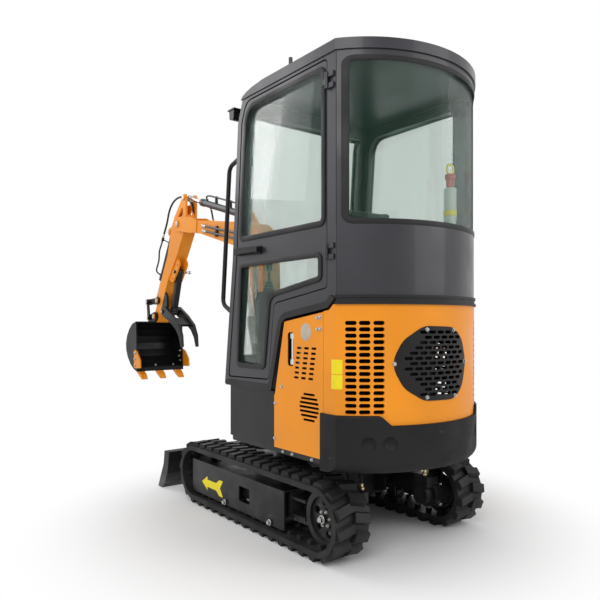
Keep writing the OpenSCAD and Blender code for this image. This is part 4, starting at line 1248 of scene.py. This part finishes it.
@dataclass
class Cab:
    """Cab shell with its windows, seat and controls."""

    body: str = "upper"
    half_w: float = 430.0
    solids: dict[Surface, tuple[str, ...]] = field(default_factory=lambda: {
        Surface.TRIM_RUBBER: ("cab_trim",),
        Surface.CAB_GREY: ("cab_floor", "cab_left_frame", "cab_right_wall", "cab_front_frame",
            "cab_rear_panel", "cab_roof"),
        Surface.WINDOW_GLASS: ("windshield", "rear_window", "right_windows"),
        Surface.SEAT_COVER: ("seat",),
        Surface.GRILLE_PLASTIC: ("consoles",),
        Surface.BOX_BLACK: ("travel_levers", "grab_rail", "work_lamp"),
        Surface.BOTTLE_WHITE: ("extinguisher",)})
    tail_x: float = -275.0
    rear_r: float = 553.0
    rear_opening: tuple[Flat, ...] = ((-409, 1378), (409, 1378), (409, 2036), (-409, 2036))
    front_opening: tuple[Flat, ...] = ((-350, 800), (350, 800), (350, 2006), (-350, 2006))
    front_line: tuple[Flat, ...] = ((238, 668), (161, 1293), (111, 1959), (70, 2066))
    bottle: Spot = (-590.0, -320.0, 1676.0)
    levers: tuple[Spot, ...] = ((30, 300, 1148), (30, -300, 1148))
    cushion: tuple[Flat, ...] = ((-205, 940), (36, 940), (56, 984), (42, 1028), (-214, 1020))
    backrest: tuple[Flat, ...] = ((-226, 1034), (-178, 1034), (-250, 1418), (-270, 1530), (-322, 1530),
        (-312, 1420))
    pedestal: tuple[Flat, ...] = ((-130, 691), (-30, 691), (-24, 920), (-140, 920))
    back_stay: tuple[Flat, ...] = ((-214, 924), (-196, 924), (-216, 1060), (-238, 1060))
    cushion_fill: float = 0.7
    voxel: float = 6.0
    pressure: float = 4.0
    swell_frames: int = 20
    swell_cap: float = 13.0
    seam_y: float = 140.0
    seam_wide: float = 5.0
    seam_deep: float = 4.5
    valve: tuple[Flat, ...] = ((0, -52), (16, -52), (19, -44), (19, -18), (25, -12), (25, 8), (12, 14),
        (0, 14))
    strap: tuple[Flat, ...] = ((30.4, -190), (31.6, -188), (31.6, -166), (30.4, -164))
    ring_reach: float = 25.0
    ring_up: float = 34.0
    boot: tuple[Flat, ...] = ((0, -20), (34, -20), (34, -16), (27, -8), (31, 0), (22, 8), (26, 16),
        (16, 24), (19, 32), (9, 42), (0, 42))
    lens: tuple[Flat, ...] = ((-24, 1996), (24, 1996), (24, 2030), (-24, 2030))
    lamp_inward: float = 18.0
    lamp_foot: Flat = (172.6, 1992.0)
    lamp_slope: float = 0.085

    def on_front(self, across: float, out: float, up: float) -> Spot:
        """Find a place on the sloping front frame.

        Args:
            across: Distance to the left.
            out: Distance in front of the frame.
            up: Height.

        Returns:
            The place.
        """
        for (x0, z0), (x1, z1) in zip(self.front_line, self.front_line[1:]):
            if up <= z1:
                return (x0 + (x1 - x0) * (up - z0) / (z1 - z0) + out, across, up)
        return (self.front_line[-1][0] + out, across, up)

    def on_rear(self, across: float, out: float, up: float) -> Spot:
        """Find a place on the round rear panel.

        Args:
            across: Distance to the left.
            out: Distance outside the panel.
            up: Height.

        Returns:
            The place.
        """
        turn = math.asin(max(-1.0, min(1.0, across / self.rear_r)))
        reach = self.rear_r + out
        return (self.tail_x - reach * math.cos(turn), reach * math.sin(turn), up)

    def bent_seals(self) -> None:
        """Add the seals of the rear window and the windshield."""
        outer, inner = frame_of(self.rear_opening, 30.0, 6.0, 16.0)
        piece = Bench.remap(Bench.gasket("rear_window_seal", outer, inner, -1.0, 2.5), self.on_rear)
        Bench.fix(piece, self.body, Surface.TRIM_RUBBER, "trim_rubber")
        outer, inner = frame_of(self.front_opening, 12.0, 10.0, 12.0)
        piece = Bench.remap(Bench.gasket("windshield_seal", outer, inner, -1.0, 4.0), self.on_front)
        Bench.fix(piece, self.body, Surface.TRIM_RUBBER, "trim_rubber")

    def swollen(self, piece: Piece) -> Piece:
        """Fill a cushion with air pressure under its cloth.

        Args:
            piece: Plain form of the cushion.

        Returns:
            The cushion.
        """
        Bench.hold(piece)
        piece.data.remesh_voxel_size = self.voxel * MM
        bpy.ops.object.voxel_remesh()
        starts = [point.co.copy() for point in piece.data.vertices]
        cloth = piece.modifiers.new("swell", "CLOTH")
        cloth.settings.use_pressure = True
        cloth.settings.uniform_pressure_force = self.pressure
        cloth.settings.effector_weights.gravity = 0.0
        cloth.settings.quality = 5
        for step in range(1, self.swell_frames + 1):
            bpy.context.scene.frame_set(step)
        bpy.ops.object.modifier_apply(modifier=cloth.name)
        bpy.context.scene.frame_set(1)
        for point, first in zip(piece.data.vertices, starts):
            shift = point.co - first
            if shift.length > self.swell_cap * MM:
                point.co = first + shift.normalized() * (self.swell_cap * MM)
        for point in piece.data.vertices:
            seam = math.exp(-(((abs(point.co.y) / MM) - self.seam_y) / self.seam_wide) ** 2)
            point.co -= point.normal * (seam * self.seam_deep * MM)
        step = piece.modifiers.new("smooth", "SUBSURF")
        step.levels = 1
        step.render_levels = 1
        bpy.ops.object.modifier_apply(modifier=step.name)
        bpy.ops.object.shade_smooth()
        return piece

    def seat(self) -> None:
        """Make the seat: two cushions on a pedestal with a seat pan and a back stay."""
        cushions = (("seat_cushion", self.cushion, 214.0), ("seat_back", self.backrest, 204.0))
        for name, outline, half in cushions:
            piece = self.swollen(Bench.plate(name, outline, -half, half, 16.0))
            Bench.fix(piece, self.body, Surface.SEAT_COVER, "seat_cover")
            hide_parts("seat")
        parts = [Bench.plate("pedestal", self.pedestal, -120.0, 120.0, 6.0),
            Bench.block("seat_pan", (-196, -205, 916), (30, 205, 932), 5.0),
            Bench.plate("back_stay", self.back_stay, -60.0, 60.0, 3.0)]
        piece = Bench.fix(Bench.joined("seat_pedestal", parts), self.body, Surface.BOX_BLACK, "box_black")
        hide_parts("seat")

    def bottle_head(self) -> None:
        """Add the red valve, the yellow ring and the strap of the extinguisher."""
        x, y, z = self.bottle
        valve = Bench.lathe("extinguisher_valve", self.valve, self.bottle, Axis.UP.value, 24)
        Bench.fix(valve, self.body, Surface.HEAD_RED, "bottle_white")
        reach = self.ring_reach
        turns = [math.radians(30 * step) for step in range(12)]
        points = [(x, y + reach * math.cos(t), z + self.ring_up + reach * math.sin(t)) for t in turns]
        ring = Bench.tube("extinguisher_ring", points, 5.0, True)
        Bench.fix(ring, self.body, Surface.PLATE_YELLOW, "bottle_white")
        strap = Bench.lathe("extinguisher_strap", self.strap, self.bottle, Axis.UP.value, 40)
        Bench.fix(strap, self.body, Surface.PLATE_YELLOW, "bottle_white")

    def boots(self) -> None:
        """Add the folded rubber boots of the two hand levers."""
        pieces = [Bench.lathe("lever_boot", self.boot, spot, Axis.UP.value, 28) for spot in self.levers]
        Bench.fix(Bench.joined("lever_boots", pieces), self.body, Surface.TRIM_RUBBER, "trim_rubber")

    def lamp(self) -> None:
        """Add the lens of the work lamp."""
        y = self.half_w - self.lamp_inward
        x, z = self.lamp_foot
        piece = Bench.plate("lamp_lens", rounded(self.lens, [6.0] * len(self.lens)), 0.0, 4.0, 1.2)
        Bench.remap(piece, lambda u, v, w: (x + (w - z) * self.lamp_slope + v, y + u, w))
        Bench.fix(piece, self.body, Surface.LAMP_LENS, "bottle_white")

    def build(self) -> None:
        """Dress the cab and add its small pieces."""
        PAINT.dress_solids(self.solids)
        pane_seals("right", self.body, -self.half_w, -1.0)
        self.bent_seals()
        self.seat()
        self.bottle_head()
        self.boots()
        self.lamp()


@dataclass
class Door:
    """Door with its two panes and handle."""

    body: str = "door"
    face_y: float = 428.0
    solids: dict[Surface, tuple[str, ...]] = field(default_factory=lambda: {
        Surface.CAB_GREY: ("door_frame",),
        Surface.WINDOW_GLASS: ("door_glass",),
        Surface.GRILLE_PLASTIC: ("door_handle",)})

    def build(self) -> None:
        """Dress the door and add its seals."""
        PAINT.dress_solids(self.solids)
        pane_seals("door", self.body, self.face_y, 1.0)


@dataclass
class FrontLinkage:
    """Swing post, boom, arm, thumb and bucket with their cylinders."""

    solids: dict[Surface, tuple[str, ...]] = field(default_factory=lambda: {
        Surface.BLACK_STEEL: ("swing_post", "thumb", "bucket_rocker", "bucket_link"),
        Surface.ORANGE_PAINT: ("boom", "arm", "bucket_teeth"),
        Surface.CYLINDER_PAINT: ("boom_cylinder", "arm_cylinder", "bucket_cylinder"),
        Surface.ROD_CHROME: ("boom_rod", "arm_rod", "bucket_rod"),
        Surface.BUCKET_PAINT: ("bucket",)})
    pins: dict[str, tuple[tuple[Spot, float], ...]] = field(default_factory=lambda: {
        "swing": (((435, 72, 690), 20), ((545, 72, 590), 20)),
        "boom": (((738, 46, 1380), 18), ((700, 46, 1633), 18), ((1513, 74, 1682), 24)),
        "arm": (((1452, 54, 1861), 18), ((1700, 45, 1650), 17), ((1870, 67, 1148), 18),
            ((1905, 75, 1028), 20), ((1757, 76, 1062), 13), ((1700, 50, 1075), 11), ((1610, 50, 1349), 11)),
        "rocker": (((2005, 87, 1140), 18),),
        "link": (((1988, 86, 1015), 12),)})
    end_share: float = 0.8
    grip: tuple[Flat, ...] = ((0, 0), (8, 0), (8, 22), (13, 24), (14, 30), (13, 36), (6, 39), (0, 39))
    grip_at: Spot = (1610, -50, 1349)
    teeth: tuple[float, ...] = (-150.0, 0.0, 150.0)
    cutter_inner: tuple[Flat, ...] = ((1966, 762), (1984, 719), (1966, 684))
    cutter_outer: tuple[Flat, ...] = ((1934, 752), (1938, 706), (1934, 662))
    boom_face_y: float = 59.0
    boom_pipe_y: float = 67.5
    clamp_spots: tuple[Flat, ...] = ((500, 1080), (720, 1509), (960, 1564))
    boom_pipes: tuple[tuple[Flat, ...], ...] = (
        ((484, 880), (486, 1150), (498, 1340), (546, 1456), (640, 1508), (782, 1540), (1125, 1619)),
        ((510, 880), (516, 1150), (528, 1318), (570, 1412), (650, 1472), (789, 1509), (1118, 1584)))
    arm_pipe: tuple[Flat, ...] = ((779.4, 1678), (778, 1702), (800, 1724), (856, 1741), (1029, 1793),
        (1162, 1833), (1204, 1838), (1212, 1822), (1197, 1809.5))
    arm_barrel_foot: Flat = (700.0, 1633.0)
    arm_barrel_slope: float = 0.3032
    arm_clamp_x: Flat = (900.0, 1080.0)
    bucket_pipe: tuple[Spot, ...] = ((1799, 40, 1632), (1809, 40, 1606), (1842, 40, 1560),
        (1874, 40, 1521), (1878, 38, 1476), (1890, 36, 1448), (1918, 34, 1415), (1948, 30, 1386),
        (1944, 24, 1368), (1922, 16, 1354), (1900, 6, 1344))

    def pin_ends(self) -> None:
        """Add the bright ends of the pins."""
        for body, pins in self.pins.items():
            ends = BoltSet(f"{body}_pin_ends", body, head=Head.PIN)
            for spot, radius in pins:
                ends.add_pair(*spot, radius * self.end_share)
            ends.build()
        grip = Bench.lathe("strut_pin_grip", self.grip, self.grip_at, Axis.RIGHT.value, 24)
        Bench.fix(grip, "arm", Surface.ROD_CHROME, "rod_chrome")

    def boom_lines(self) -> None:
        """Add the two steel pipes on the boom with their clamps and end fittings."""
        face, y = self.boom_face_y, self.boom_pipe_y
        pipes, ends = [], []
        for line in self.boom_pipes:
            points = [(x, y, z) for x, z in line]
            pipes.append(Bench.tube("boom_pipe", points, 7.0))
            for at, next_at in ((0, 1), (-1, -2)):
                end = Vector(points[at])
                along = (Vector(points[next_at]) - end).normalized()
                ends.append(Bench.drum("pipe_nut", end - along * 12, end + along * 12, 10.0, 1.2, 6))
                ends.append(Bench.drum("pipe_sleeve", end + along * 10, end + along * 30, 8.6, 1.2, 24))
                foot = end - along * 14
                elbow = ((foot.x, face, foot.z), (foot.x, y + 8, foot.z))
                ends.append(Bench.drum("pipe_elbow", *elbow, 9.0, 1.6, 24))
        clamps = [Bench.block("pipe_clamp", (x - 15, face, z - 34), (x + 15, y + 5, z + 34), 3.0)
            for x, z in self.clamp_spots]
        Bench.fix(Bench.joined("boom_pipes", pipes), "boom", Surface.CYLINDER_PAINT, "cylinder_paint")
        Bench.fix(Bench.joined("boom_pipe_ends", ends), "boom", Surface.BOLT_STEEL, "rod_chrome")
        Bench.fix(Bench.joined("boom_pipe_clamps", clamps), "boom", Surface.BOX_BLACK, "box_black")

    def cylinder_lines(self) -> None:
        """Add the steel pipes on the arm cylinder and the bucket cylinder."""
        parts = [Bench.tube("arm_pipe", [(x, 0.0, z) for x, z in self.arm_pipe], 6.0),
            Bench.drum("arm_pipe_foot", (779.5, 0, 1677.5), (773.8, 0, 1696.5), 9.5, 1.2, 6),
            Bench.drum("arm_pipe_end", (1201.9, 0, 1805.5), (1198.6, 0, 1816.5), 9.5, 1.2, 6)]
        foot_x, foot_z = self.arm_barrel_foot
        for x in self.arm_clamp_x:
            z = foot_z + (x - foot_x) * self.arm_barrel_slope
            parts.append(Bench.block("arm_pipe_clamp", (x - 12, -9, z + 20), (x + 2, 9, z + 66), 2.5))
        piece = Bench.joined("arm_cylinder_pipe", parts)
        Bench.fix(piece, "arm_barrel", Surface.CYLINDER_PAINT, "cylinder_paint")
        parts = [Bench.tube("bucket_pipe", self.bucket_pipe, 6.0),
            Bench.drum("stay", (1756, 6, 1574), (1808, 40, 1605), 4.0, 0.8, 16),
            Bench.drum("stay_clip", (1803, 40, 1619), (1814, 40, 1594), 10.0, 1.6, 24),
            Bench.drum("bucket_pipe_end", (1896, 4, 1342), (1916, 13, 1351), 9.5, 1.2, 6)]
        piece = Bench.joined("bucket_cylinder_pipe", parts)
        Bench.fix(piece, "bucket_barrel", Surface.CYLINDER_PAINT, "cylinder_paint")
        nut = Bench.drum("hose_end", (1793, 39, 1645), (1803, 40, 1620), 9.5, 1.2, 6)
        Bench.fix(nut, "bucket_barrel", Surface.BOLT_STEEL, "rod_chrome")

    def bucket_bolts(self) -> None:
        """Add the bolts of the teeth and the side cutters."""
        bolts = BoltSet("bucket_bolts", "bucket")
        for y in self.teeth:
            bolts.add((1976, y - 5, 633), (-0.27, 0.0, 0.96), 15.0)
            bolts.add((2016, y + 5, 650.5), (-0.47, 0.0, 0.88), 15.0)
        for x, z in self.cutter_inner:
            bolts.add_pair(x, 182.5, z, 15.0, inward=True)
        for x, z in self.cutter_outer:
            bolts.add_pair(x, 204.5, z, 15.0)
        bolts.build()

    def build(self) -> None:
        """Dress the linkage and add its small pieces."""
        PAINT.dress_solids(self.solids)
        self.pin_ends()
        self.boom_lines()
        self.cylinder_lines()
        self.bucket_bolts()


@dataclass
class Studio:
    """Camera, floor and soft light."""

    camera_at: Spot = (-2473.0, 2029.0, 978.0)
    looks_along: Spot = (0.793, -0.609, 0.0)
    focal_px: float = 613.0
    image_px: float = 600.0
    horizon_px: float = 323.0
    floor_color: Color = (0.88, 0.88, 0.88)
    fade: Flat = (0.65, 1.5)
    sensor: float = 36.0
    light_level: float = 0.56
    lamp_target: Spot = (0.2, 0.0, 0.9)
    lamp_set: tuple[tuple[str, Spot, float, float], ...] = (("key", (-3.2, 4.2, 4.6), 3.4, 130.0),
        ("fill", (-5.0, -2.5, 3.0), 3.5, 70.0), ("front", (4.5, 2.5, 4.0), 3.0, 70.0))

    def camera(self) -> None:
        """Set the camera at the photograph's place."""
        Bench.clear()
        bpy.ops.object.camera_add(location=Vector(self.camera_at) * MM,
            rotation=Vector(self.looks_along).to_track_quat("-Z", "Y").to_euler())
        camera = bpy.context.object
        camera.data.sensor_width = self.sensor
        camera.data.lens = self.sensor * self.focal_px / self.image_px
        camera.data.shift_y = (self.horizon_px - self.image_px / 2) / self.image_px
        bpy.context.scene.camera = camera

    def seen_rays(self, tree: bpy.types.NodeTree) -> Socket:
        """Tell the rays that show the background: straight, mirrored and through glass.

        Args:
            tree: Node tree that needs to know.

        Returns:
            1 for those rays, 0 for the others.
        """
        path = tree.nodes.new("ShaderNodeLightPath")
        total: Optional[Socket] = None
        for ray in ("Is Camera Ray", "Is Glossy Ray", "Is Transmission Ray"):
            if total is None:
                total = path.outputs[ray]
                continue
            node = tree.nodes.new("ShaderNodeMath")
            node.operation = "MAXIMUM"
            tree.links.new(total, node.inputs[0])
            tree.links.new(path.outputs[ray], node.inputs[1])
            total = node.outputs["Value"]
        return total

    def floor(self) -> None:
        """Lay the pale floor that fades to white far from the machine."""
        Bench.clear()
        bpy.ops.mesh.primitive_plane_add(size=60.0)
        floor = Bench.started("floor")
        graph = Graph("floor_pale")
        graph.shader.inputs["Roughness"].default_value = 0.9
        graph.shader.inputs["Specular IOR Level"].default_value = 0.1
        dim = tuple(c * 0.99 for c in self.floor_color)
        graph.link(graph.blend(graph.noise(0.4), dim, self.floor_color), graph.shader.inputs["Base Color"])
        far = graph.tree.nodes.new("ShaderNodeVectorMath")
        far.operation = "LENGTH"
        graph.link(graph.place, far.inputs[0])
        share = graph.times(graph.spread(far.outputs["Value"], self.fade), self.seen_rays(graph.tree))
        white = graph.tree.nodes.new("ShaderNodeEmission")
        mix = graph.tree.nodes.new("ShaderNodeMixShader")
        graph.link(share, mix.inputs[0])
        graph.link(graph.shader.outputs[0], mix.inputs[1])
        graph.link(white.outputs[0], mix.inputs[2])
        graph.link(mix.outputs[0], graph.tree.nodes["Material Output"].inputs["Surface"])
        floor.data.materials.append(graph.material)

    def world(self) -> None:
        """Set a white background and a plain level of light."""
        world = bpy.data.worlds.new("studio")
        bpy.context.scene.world = world
        world.use_nodes = True
        tree = world.node_tree
        back = tree.nodes["Background"]
        back.inputs["Color"].default_value = (1.0, 1.0, 1.0, 1.0)
        level = tree.nodes.new("ShaderNodeMapRange")
        level.inputs["To Min"].default_value = self.light_level
        level.inputs["To Max"].default_value = 1.0
        tree.links.new(self.seen_rays(tree), level.inputs["Value"])
        tree.links.new(level.outputs["Result"], back.inputs["Strength"])

    def lamps(self) -> None:
        """Hang the soft lamps."""
        target = Vector(self.lamp_target)
        for name, spot, size, power in self.lamp_set:
            Bench.clear()
            bpy.ops.object.light_add(type="AREA", location=spot,
                rotation=(target - Vector(spot)).to_track_quat("-Z", "Y").to_euler())
            lamp = bpy.context.object
            lamp.name = name
            lamp.data.energy = power
            lamp.data.size = size

    def build(self) -> None:
        """Set up the studio."""
        bpy.context.scene.view_settings.view_transform = "Standard"
        self.camera()
        self.floor()
        self.world()
        self.lamps()


def main() -> None:
    """Build the studio and the sub-assemblies in order."""
    logging.basicConfig(level=logging.INFO, format="%(name)s: %(message)s")
    Bench.clear()
    for part in (Studio(), Hoses(), Undercarriage(), Blade(), UpperBody(), Cab(), Door(), FrontLinkage()):
        part.build()
        LOG.info("%s is done", type(part).__name__)


if __name__ == "__main__":
    main()
